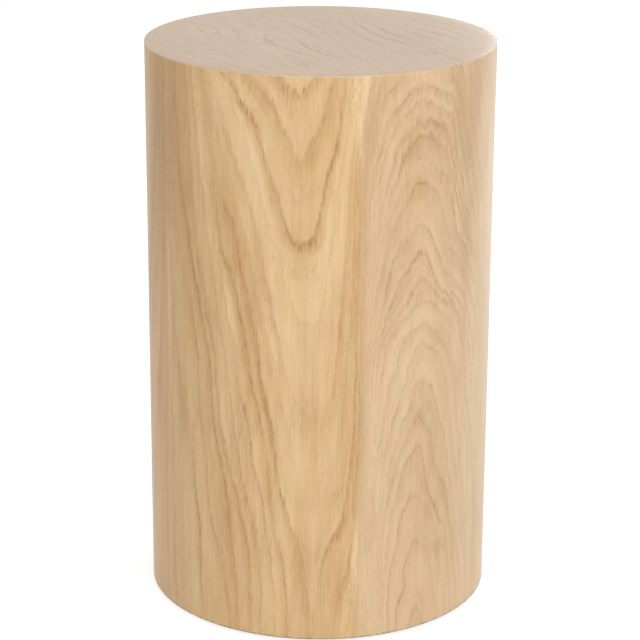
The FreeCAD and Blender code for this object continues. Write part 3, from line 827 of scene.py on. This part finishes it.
# %% [markdown]
# A field that is worked out this way has a kink at every limb and a needle point at every tip.
# Smooth curves through the points would round the limbs but not the tips. Averaging the field
# over a few millimetres rounds both. The last number of the field is the width of a year, which
# keeps all lines equally wide, whether the years are crowded or far apart.

# %% Softening, and the width of a year
SOFTENING = [(-5, 0), (-2.5, -4), (-2.5, 4), (0, 0), (2.5, -4), (2.5, 4), (5, 0)]
YEAR_WIDTHS = (3.0, 45.0)
LEAST_SLOPE = 1e-3


def soft_field(drawing, arc, height):
    """The same field, averaged over nearby arcs and heights, which rounds the tips."""
    total = sum(arch_field(drawing, arc + aside, height + up) for aside, up in SOFTENING)
    return total / len(SOFTENING)


print("the softening is a mean over", len(SOFTENING), "places")


def year_width(year, arc, height, lengthways):
    """Millimetres in a year: one over the slope of the year number.

    The slope along the fibre counts several times, because a line that crosses the fibre is
    frayed over a greater length.
    """
    slope_across, slope_along = np.gradient(year, arc[:, 0], height[0])
    slope = np.hypot(slope_across, lengthways * slope_along)
    return np.clip(1 / np.maximum(slope, LEAST_SLOPE), *YEAR_WIDTHS)


# %% [markdown]
# ## The leaves of the wall
#
# The back has three more leaves. They could have drawings of their own, but leaves of one log are
# alike, and a veneer worker turns them over to match. So those at the sides are turned over like
# the page of a book, and the one in the middle is laid upside down, and their figures match the
# front ones without repeating them.

# %% Oak colours and the leaves
HONEY = dict(pale=srgb(231, 199, 151), rosy=srgb(228, 190, 142), tan=srgb(203, 162, 108),
             dark=srgb(158, 120, 72), rust=srgb(166, 110, 62), sapwood=srgb(233, 204, 162))
STRAW = dict(pale=srgb(226, 195, 153), rosy=srgb(224, 188, 149), tan=srgb(204, 170, 128),
             dark=srgb(162, 126, 78), rust=srgb(176, 124, 76), sapwood=srgb(235, 207, 167))
# A darker, warmer copy of the honey colours, for the leaf at the back left. That leaf shows at the
# left edge of the view, on the side away from the lamps, so this copy is painted shade. It also
# holds back the pale reflection of the lacquer there.
SHADED_HONEY = {**HONEY, "pale": srgb(228, 187, 129), "tan": srgb(198, 153, 94)}
WALL_LACQUER = dict(streak_contrast=0.048, coat=0.1)
LEAVES = {
    "front_right": dict(index=0, drawing=PEAKS, colours=STRAW, seed=11.0),
    "right_back": dict(index=1, drawing=PLUMES, colours=HONEY, mirror=True, seed=21.0),
    "back": dict(index=2, drawing=PEAKS, colours=HONEY, flip=True, seed=31.0),
    # The leaf at the back left takes the copy of the honey colours with painted shade.
    "left_back": dict(index=3, drawing=PLUMES, colours=SHADED_HONEY, mirror=True, seed=41.0),
    "front_left": dict(index=4, drawing=PLUMES, colours=HONEY, seed=3.0),
}
print("leaves:", ", ".join(LEAVES))

# %% [markdown]
# The edge marks need to know how far each point is from an edge. That could be stored at the
# points, but the mesh is coarser than the marks are wide. On a wall leaf the material reads it off
# the arc and the height, and on the round top leaf off the distance from the middle, which is
# exact at every spot.

# %% Edges of a leaf
EDGE_LOOKS = {
    "rim": dict(width=1.5, amount=0.25, colour=srgb(236, 212, 180)),
    # The foot's grey line is painted shade: the shadow in the narrow gap under the wall.
    "foot": dict(width=2.2, amount=0.75, colour=srgb(132, 116, 96)),
    "seam": dict(width=0.5, amount=0.18, colour=srgb(168, 128, 84)),
}
EDGE_ROUGHNESS = 0.12
print("edges that wear:", ", ".join(EDGE_LOOKS))


def wall_edges(tree, leaf):
    """Millimetres from the rim, the foot and the nearest seam of a wall leaf."""
    arc, height = leaf_millimetres(tree, leaf)
    return {"rim": maths(tree, "SUBTRACT", LEAF_TOP / MM, height),
            "foot": maths(tree, "SUBTRACT", height, LEAF_FOOT / MM),
            "seam": maths(tree, "SUBTRACT", LEAF_HALF / MM, maths(tree, "ABSOLUTE", arc))}


def top_edges(tree, leaf):
    """Millimetres from the rim of the top leaf."""
    inwards = maths(tree, "SUBTRACT", DRUM_RADIUS, vector_length(tree, leaf))
    return {"rim": times(tree, inwards, MM_PER_METRE)}


# %% [markdown]
# The lacquered oak puts all of this together. Its groups read the leaf coordinates and the field
# at the points, so the figure is fixed to the piece. Roughness alone could make the sheen, but
# lacquer is a film: a thin, slightly matt coat lies over the wood and reflects evenly, while the
# wood under it stays dull. Open pores make a relief of a tenth of a millimetre, too fine for the
# mesh, so a Bump node gives it.

# %% Lacquered oak
RELIEF_STRENGTH = 0.35
RELIEF_DEPTH = 0.12 * MM
COAT_ROUGHNESS = 0.3
print(f"open pores are {RELIEF_DEPTH / MM:.2f} mm deep")


def new_material(name):
    """A material, its node tree and its shader."""
    material = bpy.data.materials.new(name)
    material.use_nodes = True
    return material, material.node_tree, material.node_tree.nodes["Principled BSDF"]


def point_value(tree, name):
    """A number that is stored at the points of the piece."""
    return node(tree, "ShaderNodeAttribute", attribute_name=name).outputs["Fac"]


def edge_tones_and_foot_shade(tree, leaf, seed, edges, colour, roughness):
    """The colour and roughness, with each edge's colour mixed in by its mask.

    The colour at the foot is painted shade, for the shadow under the wall.
    """
    for edge, distance in edges.items():
        edge_look = EDGE_LOOKS[edge]
        edge_mask = use_group(tree, edge_band, leaf=leaf, distance=distance,
                         width=edge_look["width"], seed=seed)["Mask"]
        colour = blend_colour(tree, times(tree, edge_mask, edge_look["amount"]), colour,
                              edge_look["colour"])
        roughness = maths(tree, "MULTIPLY_ADD", edge_mask, EDGE_ROUGHNESS, roughness)
    return colour, roughness


def oak_material(name, look, edges=wall_edges):
    """Lacquered oak: growth rings, fibre, edge marks, and a faint relief of open pores.

    The edge mark at the foot is painted shade.
    """
    material, tree, shader = new_material(name)
    leaf = node(tree, "ShaderNodeUVMap", uv_map="leaf").outputs[0]
    width = point_value(tree, "year_width")
    ink = point_value(tree, "ink")
    rings = use_group(tree, growth_rings, leaf=leaf, year=point_value(tree, "year"),
                      year_width=width, line_width=look["line_width"], lean=look["lean"],
                      wave=look["wave"], fray=look["fray"], seed=look["seed"])
    halo = times(tree, rings["Halo"], ink)
    shade = maths(tree, "MULTIPLY_ADD", halo, look["halo"], point_value(tree, "shade"))
    oak = use_group(tree, oak_figure, leaf=leaf, year=rings["Year"], year_width=width,
                    strong=times(tree, rings["Strong"], ink), shade=shade,
                    late_wood=times(tree, rings["Late Wood"], ink),
                    weak_years=look["weak_years"], weak_ink=look["weak_ink"],
                    pore_ink=look["pore_ink"], contrast=look["contrast"],
                    streak_contrast=look["streak_contrast"], seed=look["seed"],
                    **look["colours"])
    bump = node(tree, "ShaderNodeBump")
    feed(tree, bump.inputs["Strength"], RELIEF_STRENGTH)
    feed(tree, bump.inputs["Distance"], RELIEF_DEPTH)
    feed(tree, bump.inputs["Height"], oak["Height"])
    # The edges' colours go on last; the grey line at the foot is painted shade.
    colour, roughness = edge_tones_and_foot_shade(tree, leaf, look["seed"], edges(tree, leaf), oak["Color"],
                             oak["Roughness"])
    feed(tree, shader.inputs["Base Color"], colour)
    feed(tree, shader.inputs["Roughness"], roughness)
    feed(tree, shader.inputs["Normal"], bump.outputs[0])
    shader.inputs["Coat Weight"].default_value = look["coat"]
    shader.inputs["Coat Roughness"].default_value = COAT_ROUGHNESS
    print(f"{name}: {len(tree.nodes)} nodes")
    return material


# %% [markdown]
# ## Surfaces on a grid
#
# Blender's own cylinder with a Solidify modifier could make the veneers. A surface over two
# parameters, worked out with numpy as whole arrays, was chosen instead, because each of its
# points knows its arc and height, so the figure comes from the same numbers as the shape. The
# first helper puts such a surface in a mesh, with its leaf coordinates as a UV map and its field
# as numbers at the points. The second lists the faces of a grid, which may be closed to a ring.

# %% Mesh helpers
SHARP_FROM = math.radians(35)


def put_in_mesh(name, points, faces, leaf, field, material):
    """Makes a piece from its points, its faces, and the leaf coordinates and field of them."""
    mesh = bpy.data.meshes.new(name)
    mesh.from_pydata(points.reshape(-1, 3).tolist(), [], faces)
    corners = np.empty(len(mesh.loops), dtype=np.int32)
    mesh.loops.foreach_get("vertex_index", corners)
    layer = mesh.uv_layers.new(name="leaf")
    layer.data.foreach_set("uv", leaf.reshape(-1, 2)[corners].astype(np.float32).ravel())
    for label, values in zip(("year", "ink", "shade", "year_width"), field):
        attribute = mesh.attributes.new(label, "FLOAT", "POINT")
        attribute.data.foreach_set("value", np.ravel(values).astype(np.float32))
    mesh.shade_smooth()
    mesh.set_sharp_from_angle(angle=SHARP_FROM)
    mesh.materials.append(material)
    piece = bpy.data.objects.new(name, mesh)
    bpy.context.scene.collection.objects.link(piece)
    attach(piece, "root")
    print(f"{name}: {len(mesh.polygons)} faces")
    return piece


def quads_between(grid, closed_columns=False):
    """The quads of a grid of point numbers, row by row."""
    cells = np.hstack([grid, grid[:, :1]]) if closed_columns else grid
    return np.stack([cells[:-1, :-1], cells[1:, :-1], cells[1:, 1:], cells[:-1, 1:]],
                    axis=-1).reshape(-1, 4)


print("quads in a grid of 3 by 4 points:", len(quads_between(np.arange(12).reshape(3, 4))))

# %% [markdown]
# ## Veneer on the wall
#
# A wall leaf is a sheet 0.6 mm thick, bent to the drum. The frame's own solid has the right shape
# but too few points for the figure, so a finer sheet takes its place. It is a little proud in
# places and a little flat in others, because the plywood behind it is, and that keeps a long
# reflection from being ruler straight. Its long edges are eased by a twentieth of a millimetre,
# which draws the hairline between two leaves. A dark line in the material could do that too, but
# a real edge also catches the light.

# %% The outer face of a wall leaf
ARC_STEPS = 112
HEIGHT_STEPS = 116
SEAM_EASING = 0.05 * MM
SEAM_WIDTH = 0.18 * MM
FOOT_EASING = 0.3 * MM
WALL_WAVE = 0.12 * MM
WAVE_FADES_OVER = 20 * MM
print(f"a leaf is {2 * LEAF_HALF / MM:.0f} mm wide, with {ARC_STEPS} by {HEIGHT_STEPS} points")


def outer_radius(a, z, angle):
    """The drum's radius, less a slow wave, less the easing at the two seams and at the foot.

    The wave is two sines, of 5 and of 11 turns round the drum, that drift with the height. It
    fades out near the rim and the foot, so that those stay round.
    """
    wave = 0.5 + 0.25 * np.sin(5 * angle + 7 * z) + 0.25 * np.sin(11 * angle - 12 * z + 1.3)
    near_ends = np.clip(np.minimum(z - LEAF_FOOT, LEAF_TOP - z) / WAVE_FADES_OVER, 0, 1)
    at_seam = np.clip(1 - (LEAF_HALF - np.abs(a)) / SEAM_WIDTH, 0, 1)
    at_foot = np.clip(1 - (z - LEAF_FOOT) / FOOT_EASING, 0, 1)
    return (DRUM_RADIUS - WALL_WAVE * wave * near_ends
            - SEAM_EASING * at_seam - FOOT_EASING * at_foot)


def wall_field(look, a, z):
    """The leaf's field at each arc and height; a mirror or flip turns the drawing over."""
    drawing = look["drawing"]
    drawn_arc = (-a if look.get("mirror") else a) / MM
    drawn_height = (LEAF_TOP + LEAF_FOOT - z if look.get("flip") else z) / MM
    year, ink, shade = soft_field(drawing, drawn_arc, drawn_height)
    width = year_width(year, a / MM, z / MM, drawing["lengthways"])
    return [year * drawing["opens"], ink, shade, width]


# %% Wall leaves
def wall_leaf(name, look, material):
    """A leaf from one seam to the next.

    A point at arc a and height z lies at the outer radius, at the angle of the leaf's middle plus
    the arc over the drum's radius. The inner face is the same grid, one veneer nearer to the
    axis. The leaf coordinates are the arc from the leaf's middle and the height.
    """
    arc = np.linspace(-LEAF_HALF, LEAF_HALF, ARC_STEPS - 2)
    arc = np.sort(np.concatenate([arc, [-LEAF_HALF + SEAM_WIDTH, LEAF_HALF - SEAM_WIDTH]]))
    rise = np.linspace(LEAF_FOOT, LEAF_TOP, HEIGHT_STEPS - 1)
    rise = np.sort(np.concatenate([rise, [LEAF_FOOT + FOOT_EASING]]))
    a, z = np.meshgrid(arc, rise, indexing="ij")
    angle = FIRST_SEAM + (look["index"] + 0.5) * LEAF_SPAN + a / DRUM_RADIUS
    radius = np.stack([outer_radius(a, z, angle), np.full_like(a, DRUM_RADIUS - VENEER)])
    on_both = [np.broadcast_to(values, radius.shape) for values in (a, z)]
    points = np.stack([radius * np.cos(angle), radius * np.sin(angle), on_both[1]], axis=-1)
    field = [np.stack([values, values]) for values in wall_field(look, a, z)]
    numbers = np.arange(radius.size).reshape(radius.shape)
    around = np.hstack([numbers[0], numbers[1][:, ::-1]])
    faces = np.vstack([quads_between(around, closed_columns=True),
                       quads_between(np.stack([numbers[1][0], numbers[0][0]])),
                       quads_between(np.stack([numbers[0][-1], numbers[1][-1]]))])
    piece = put_in_mesh(name, points, faces.tolist(), np.stack(on_both, axis=-1), field, material)
    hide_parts(f"wall_veneer_{look['index'] + 1}")


for leaf_name, leaf_look in LEAVES.items():
    leaf_material = oak_material(f"oak_{leaf_name}",
                                 {**WALL_LACQUER, **leaf_look["drawing"], **leaf_look})
    wall_leaf(f"veneer_{leaf_name}", leaf_look, leaf_material)

# %% [markdown]
# ## Veneer on the top
#
# The top leaf is one sheet, cut round after it is glued, so its rim is the sawn and sanded edge
# of the veneer. A disc with a Bevel modifier could make it. A profile turned about the axis puts
# the points just where the rounding needs them: flat underside, upright rim, a rounded arris and
# a flat face, with a pole at each end. Its years run nearly straight across the drum, so a short
# sum gives its field, and no drawing is needed.

# %% The figure of the top
TOP_GRAIN = math.radians(-61)
TOP_YEAR_WIDTH = 17.0
TOP_FAINT_INK = 0.1
TOP_SPOTS = [(68, 5, 20, 65, 1.1), (-42, 22, 18, 65, .9), (66, 130, 16, 40, .9),
             (-74, -86, 18, 30, .8), (10, -70, 16, 45, .8), (118, 20, 16, 55, .7)]
TOP_LOOK = dict(seed=53.0, lean=4.0, wave=8.0, fray=7.0, line_width=4.0, halo=0.25,
                weak_years=1.8, weak_ink=0.22, pore_ink=0.9, contrast=1.4,
                streak_contrast=0.17, coat=0.25,
                # The top's colours are paler and greyer than the wall's. Part of that is the oak's
                # own tone, and part is painted sheen: the grey that the lacquer reflects when the
                # top is seen at a low angle.
                colours=dict(pale=srgb(212, 184, 153), rosy=srgb(214, 183, 157),
                             tan=srgb(202, 173, 141), dark=srgb(160, 122, 66),
                             rust=srgb(170, 126, 74), sapwood=srgb(230, 206, 180)))
print("years across the top:", round(2 * DRUM_RADIUS / MM / TOP_YEAR_WIDTH))


def top_field(across, along):
    """Year number, ink, shade and year width of the top, in millimetres.

    The year number is the place across over the width of a year, plus two slow sines that bend
    the years, plus a bell-shaped eddy. The lines are faint, except in a few drawn places, which
    are bell-shaped spots of ink.
    """
    bend = 0.5 * np.sin(along / 75 + 0.6) + 0.3 * np.sin(along / 31 + across / 45)
    eddy = 1.6 * np.exp(-((across + 70) / 38) ** 2 - ((along + 10) / 60) ** 2)
    year = across / TOP_YEAR_WIDTH + bend + eddy
    ink = np.full_like(year, TOP_FAINT_INK)
    for middle, level, half_width, half_length, amount in TOP_SPOTS:
        ink += amount * np.exp(-((across - middle) / half_width) ** 2
                               - ((along - level) / half_length) ** 2)
    return year, ink, 0.35 + 0.2 * np.sin(across / 40), np.full_like(year, TOP_YEAR_WIDTH)


# %% Top leaf
TURN_STEPS = 256
ARRIS_STEPS = 5
FACE_STEPS = 14
RIM_EASING = 0.3 * MM


def top_leaf(material):
    """The round face leaf: each ring of points is a circle of the profile's radius and height."""
    bend = np.linspace(0, math.pi / 2, ARRIS_STEPS)
    face = np.linspace(1, 0, FACE_STEPS)[1:-1] * (DRUM_RADIUS - RIM_EASING)
    radius = np.concatenate([[DRUM_RADIUS * 0.5, DRUM_RADIUS],
                             DRUM_RADIUS - RIM_EASING + RIM_EASING * np.cos(bend), face])
    height = np.concatenate([[LEAF_TOP, LEAF_TOP],
                             DRUM_TOP - RIM_EASING + RIM_EASING * np.sin(bend),
                             np.full(len(face), DRUM_TOP)])
    turn = np.linspace(0, 2 * math.pi, TURN_STEPS, endpoint=False)
    r, angle = np.meshgrid(radius, turn, indexing="ij")
    z = np.broadcast_to(height[:, None], r.shape)
    rings = np.stack([r * np.cos(angle), r * np.sin(angle), z], axis=-1).reshape(-1, 3)
    points = np.vstack([rings, [[0, 0, LEAF_TOP], [0, 0, DRUM_TOP]]])
    numbers = np.arange(r.size).reshape(r.shape)
    sides = quads_between(numbers, closed_columns=True)[:, ::-1]
    after = np.roll(numbers, -1, axis=1)
    under_pole, face_pole = np.full((2, TURN_STEPS), [[r.size], [r.size + 1]])
    under = np.stack([numbers[0], under_pole, after[0]], axis=-1)
    over = np.stack([after[-1], face_pole, numbers[-1]], axis=-1)
    faces = sides.tolist() + under.tolist() + over.tolist()
    along = points[:, 0] * math.cos(TOP_GRAIN) + points[:, 1] * math.sin(TOP_GRAIN)
    across = points[:, 1] * math.cos(TOP_GRAIN) - points[:, 0] * math.sin(TOP_GRAIN)
    piece = put_in_mesh("veneer_top", points, faces, np.stack([across, along], axis=-1),
                        top_field(across / MM, along / MM), material)
    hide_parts("top_veneer")


top_leaf(oak_material("oak_top_face", TOP_LOOK, top_edges))

# %% [markdown]
# ## Raw wood, rubber and steel
#
# The rest shows only from below, or when the table is taken apart. Plywood is the one that needs
# care: its faces show one ply, and its edges show them all, every second one as darker end grain.
# Each face could get a material of its own, but a pattern in depth gives both at once, because
# the depth doesn't change along a face.

# %% Plywood layers
plies, given, result = new_group(
    "Plies", [("Depth", "Float", 0.0), ("Ply", "Float", 1.5)],
    [("Cross", "Float"), ("Glue", "Float")])
tree = plies
count = maths(tree, "DIVIDE", given["Depth"], given["Ply"])
off_middle = maths(tree, "ABSOLUTE", maths(tree, "SUBTRACT", maths(tree, "FRACT", count), 0.5))
feed(tree, result["Cross"], maths(tree, "GREATER_THAN", maths(
    tree, "FRACT", times(tree, count, 0.5)), 0.5))
feed(tree, result["Glue"], ease(tree, off_middle, 0.44, 0.5))
print("plies:", len(tree.nodes), "nodes")


# %% Depths in plywood
FLOOR_TO_FIRST_PLY = 0.37


def depth_from_axis(tree):
    """Millimetres from the drum's axis: the bent wall is laid up in that direction."""
    x, y, _ = split_vector(tree, object_place(tree))
    return times(tree, vector_length(tree, join_vector(tree, x, y)), MM_PER_METRE)


def depth_from_floor(tree):
    """Millimetres above the floor: flat plywood is laid up in that direction."""
    height = split_vector(tree, object_place(tree))[2]
    return maths(tree, "MULTIPLY_ADD", height, MM_PER_METRE, FLOOR_TO_FIRST_PLY)


# %% [markdown]
# Planed wood and fibreboard are the same idea at two sizes. Wood has long streaks along one axis,
# and the grain of fibreboard is short flecks in all directions, on a cloudy ground. One material
# with many switches could serve for both, but two short ones are easier to follow. Rubber and
# plated steel are a single colour, which a fine grain keeps from looking flat.

# %% Planed wood
STREAKS_DARKEN = 0.5
DRIFT_DARKENS = 0.4
CROSS_PLY_DARKENS = 0.55
GLUE_SHARE = 0.6
GLUE_LINE = srgb(110, 78, 48)
PLANED_ROUGHNESS = 0.7
OPEN_PORE_ROUGHNESS = 0.15


def raw_wood(name, pale, dark, along_axis, seed, depth=None, ply=1.5):
    """Planed, unfinished wood with its fibre along one axis, and plies where it has a depth."""
    material, tree, shader = new_material(name)
    axes = split_vector(tree, object_place(tree))
    leaf = join_vector(tree, axes[0 if along_axis else 1], axes[along_axis])
    fibre = use_group(tree, wood_fibre, leaf=leaf, seed=seed)
    amount = maths(tree, "MULTIPLY_ADD", fibre["Streaks"], STREAKS_DARKEN,
                   times(tree, fibre["Drift"], DRIFT_DARKENS))
    colour = blend_colour(tree, amount, pale, dark)
    if depth:
        layers = use_group(tree, plies, depth=depth(tree), ply=ply)
        cross = times(tree, layers["Cross"], CROSS_PLY_DARKENS)
        colour = blend_colour(tree, cross, colour, dark)
        colour = blend_colour(tree, times(tree, layers["Glue"], GLUE_SHARE), colour, GLUE_LINE)
    feed(tree, shader.inputs["Base Color"], colour)
    feed(tree, shader.inputs["Roughness"], maths(
        tree, "MULTIPLY_ADD", fibre["Pores"], OPEN_PORE_ROUGHNESS, PLANED_ROUGHNESS))
    return material


# %% Fibreboard
FLECKS_PER_METRE = 700.0
CLOUDS_PER_FLECK = 0.04
FLECKS_DARKEN = 0.6
CLOUDS_DARKEN = 0.3
PRESSED_ROUGHNESS = (0.7, 0.82)


def pressed_fibre(name, pale, dark, seed):
    """Fibreboard: short fibres in all directions, as fine flecks on a cloudy ground."""
    material, tree, shader = new_material(name)
    fine = scale_vector(tree, object_place(tree), FLECKS_PER_METRE + seed)
    flecks = ease(tree, noise(tree, fine, 4.0, 0.7), 0.35, 0.7)
    clouds = ease(tree, noise(tree, scale_vector(tree, fine, CLOUDS_PER_FLECK)), *NOISE_RANGE)
    amount = maths(tree, "MULTIPLY_ADD", flecks, FLECKS_DARKEN,
                   times(tree, clouds, CLOUDS_DARKEN))
    feed(tree, shader.inputs["Base Color"], blend_colour(tree, amount, pale, dark))
    feed(tree, shader.inputs["Roughness"], spread(tree, flecks, *PRESSED_ROUGHNESS))
    return material


# %% Rubber and steel
GRAINS_PER_METRE = 900.0
GRAIN_AMOUNT = 0.6
GRAIN_ROUGHNESS = 0.08
LIGHTER_TIMES = 1.5
LIGHTER_BY = 0.01


def grained(name, colour, roughness, metallic=0.0):
    """Rubber or plated steel: one colour broken up by a fine grain."""
    material, tree, shader = new_material(name)
    grain = noise(tree, scale_vector(tree, object_place(tree), GRAINS_PER_METRE), 3.0)
    lighter = [min(1.0, value * LIGHTER_TIMES + LIGHTER_BY) for value in colour]
    feed(tree, shader.inputs["Base Color"], blend_colour(
        tree, times(tree, grain, GRAIN_AMOUNT), colour, lighter))
    feed(tree, shader.inputs["Roughness"], ease(
        tree, grain, *NOISE_RANGE, roughness - GRAIN_ROUGHNESS, roughness + GRAIN_ROUGHNESS))
    shader.inputs["Metallic"].default_value = metallic
    return material


# %% [markdown]
# Each piece of the frame names the finish that it wants, as a material slot. So one table of
# finishes serves them all, and the slots of the veneers are left out, because they have theirs.

# %% Give out the finishes
Y_AXIS, Z_AXIS = 1, 2
SLOT_FINISHES = {
    "bent_plywood": raw_wood("bent_plywood", srgb(222, 194, 152), srgb(182, 146, 104), Z_AXIS,
                             seed=2.0, depth=depth_from_axis, ply=1.8),
    "softwood": raw_wood("softwood", srgb(232, 206, 160), srgb(198, 158, 106), Z_AXIS,
                         seed=4.0),
    "fibreboard": pressed_fibre("fibreboard", srgb(176, 146, 110), srgb(138, 106, 76), seed=6.0),
    "balancing_veneer": raw_wood("balancing_veneer", srgb(214, 182, 140), srgb(180, 142, 100),
                                 Y_AXIS, seed=8.0),
    "birch_plywood": raw_wood("birch_plywood", srgb(230, 206, 164), srgb(204, 170, 124), Y_AXIS,
                              seed=9.0, depth=depth_from_floor),
    "foot_rubber": grained("foot_rubber", srgb(38, 38, 38), roughness=0.75),
    "screw_steel": grained("screw_steel", srgb(190, 190, 184), roughness=0.35, metallic=1.0),
}
for row in frame["record"]["subparts"]:
    finish = SLOT_FINISHES.get(row["material_slot"])
    if finish:
        for holder in frame["nodes"][row["node"]].material_slots:
            holder.material = finish
print("finishes:", ", ".join(SLOT_FINISHES))

# %% [markdown]
# ## Floor, backdrop and light
#
# The table stands on a sheet of white paper, in front of a white room. A shadow catcher could
# give a white ground, but it sends no light up to the wood, as paper does. So the paper is a
# plain diffuse sheet, which keeps the table's shadow. Where the camera or a reflection looks,
# part of its tone is a glow instead, and the world is plain white, so the ground reads as white
# without any more light on the wood.

# %% Rays that look
def looking(tree):
    """1 for the camera's rays and those of a mirror or glass, and 0 for those that bring light."""
    path = node(tree, "ShaderNodeLightPath").outputs
    return maths(tree, "MAXIMUM", path["Is Camera Ray"], maths(
        tree, "MAXIMUM", path["Is Glossy Ray"], path["Is Transmission Ray"]))


# %% Floor
FLOOR_HALF = 6.0
PAPER_TONE = 0.9
PAPER_SEEN = 0.35
PAPER_GLOW = 0.78
WHITE = (1, 1, 1, 1)
floor_mesh = bpy.data.meshes.new("floor")
floor_mesh.from_pydata([(-FLOOR_HALF, -FLOOR_HALF, 0), (FLOOR_HALF, -FLOOR_HALF, 0),
                        (FLOOR_HALF, FLOOR_HALF, 0), (-FLOOR_HALF, FLOOR_HALF, 0)], [],
                       [(0, 1, 2, 3)])
floor = bpy.data.objects.new("floor", floor_mesh)
bpy.context.scene.collection.objects.link(floor)
floor_material, tree, _ = new_material("floor_paper")
tree.nodes.clear()
seen = looking(tree)
paper = node(tree, "ShaderNodeBsdfDiffuse")
paper_tone = ease(tree, seen, 0.0, 1.0, PAPER_TONE, PAPER_SEEN, "LINEAR")
feed(tree, paper.inputs["Color"], join_vector(tree, paper_tone, paper_tone, paper_tone))
glow = node(tree, "ShaderNodeEmission")
glow.inputs["Color"].default_value = WHITE
feed(tree, glow.inputs["Strength"], times(tree, seen, PAPER_GLOW))
both = node(tree, "ShaderNodeAddShader")
tree.links.new(paper.outputs[0], both.inputs[0])
tree.links.new(glow.outputs[0], both.inputs[1])
tree.links.new(both.outputs[0], node(tree, "ShaderNodeOutputMaterial").inputs[0])
floor_mesh.materials.append(floor_material)
print(f"floor: {2 * FLOOR_HALF:.0f} m square")

# %% World
WORLD_LIGHT = 0.61
world = bpy.data.worlds.new("studio")
bpy.context.scene.world = world
world.use_nodes = True
tree = world.node_tree
tree.nodes.clear()
backdrop = node(tree, "ShaderNodeBackground")
backdrop.inputs["Color"].default_value = WHITE
strength = ease(tree, looking(tree), 0.0, 1.0, WORLD_LIGHT, 1.0, "LINEAR")
feed(tree, backdrop.inputs["Strength"], strength)
tree.links.new(backdrop.outputs[0], node(tree, "ShaderNodeOutputWorld").inputs[0])
print("the world lights the table with a strength of", WORLD_LIGHT)

# %% [markdown]
# Two square lamps shape the drum. The key stands at the front, a little to the right and above
# the table. A second lamp could light the dark side straight on, but it would show in the lacquer
# as a stripe. So it hangs behind the table on its right and shines straight down on the paper,
# which throws a soft light on that side of the wall.

# %% Soft boxes
def soft_box(name, place, size, watts, target=(0, 0, DRUM_TOP / 2)):
    """A square lamp that looks at a point, which is the middle of the table by default."""
    data = bpy.data.lights.new(name, "AREA")
    data.shape = "SQUARE"
    data.size = size
    data.energy = watts
    lamp = bpy.data.objects.new(name, data)
    bpy.context.scene.collection.objects.link(lamp)
    aim = Vector(target) - Vector(place)
    lamp.matrix_world = (Matrix.Translation(Vector(place))
                         @ aim.to_track_quat("-Z", "Y").to_matrix().to_4x4())
    print(f"{name} lamp: {watts} W")


soft_box("key", place=(0.68, -2.58, 1.8), size=1.6, watts=36.6)
soft_box("sweep", place=(0.85, 1.7, 1.0), size=0.9, watts=30.0, target=(0.85, 1.7, 0))
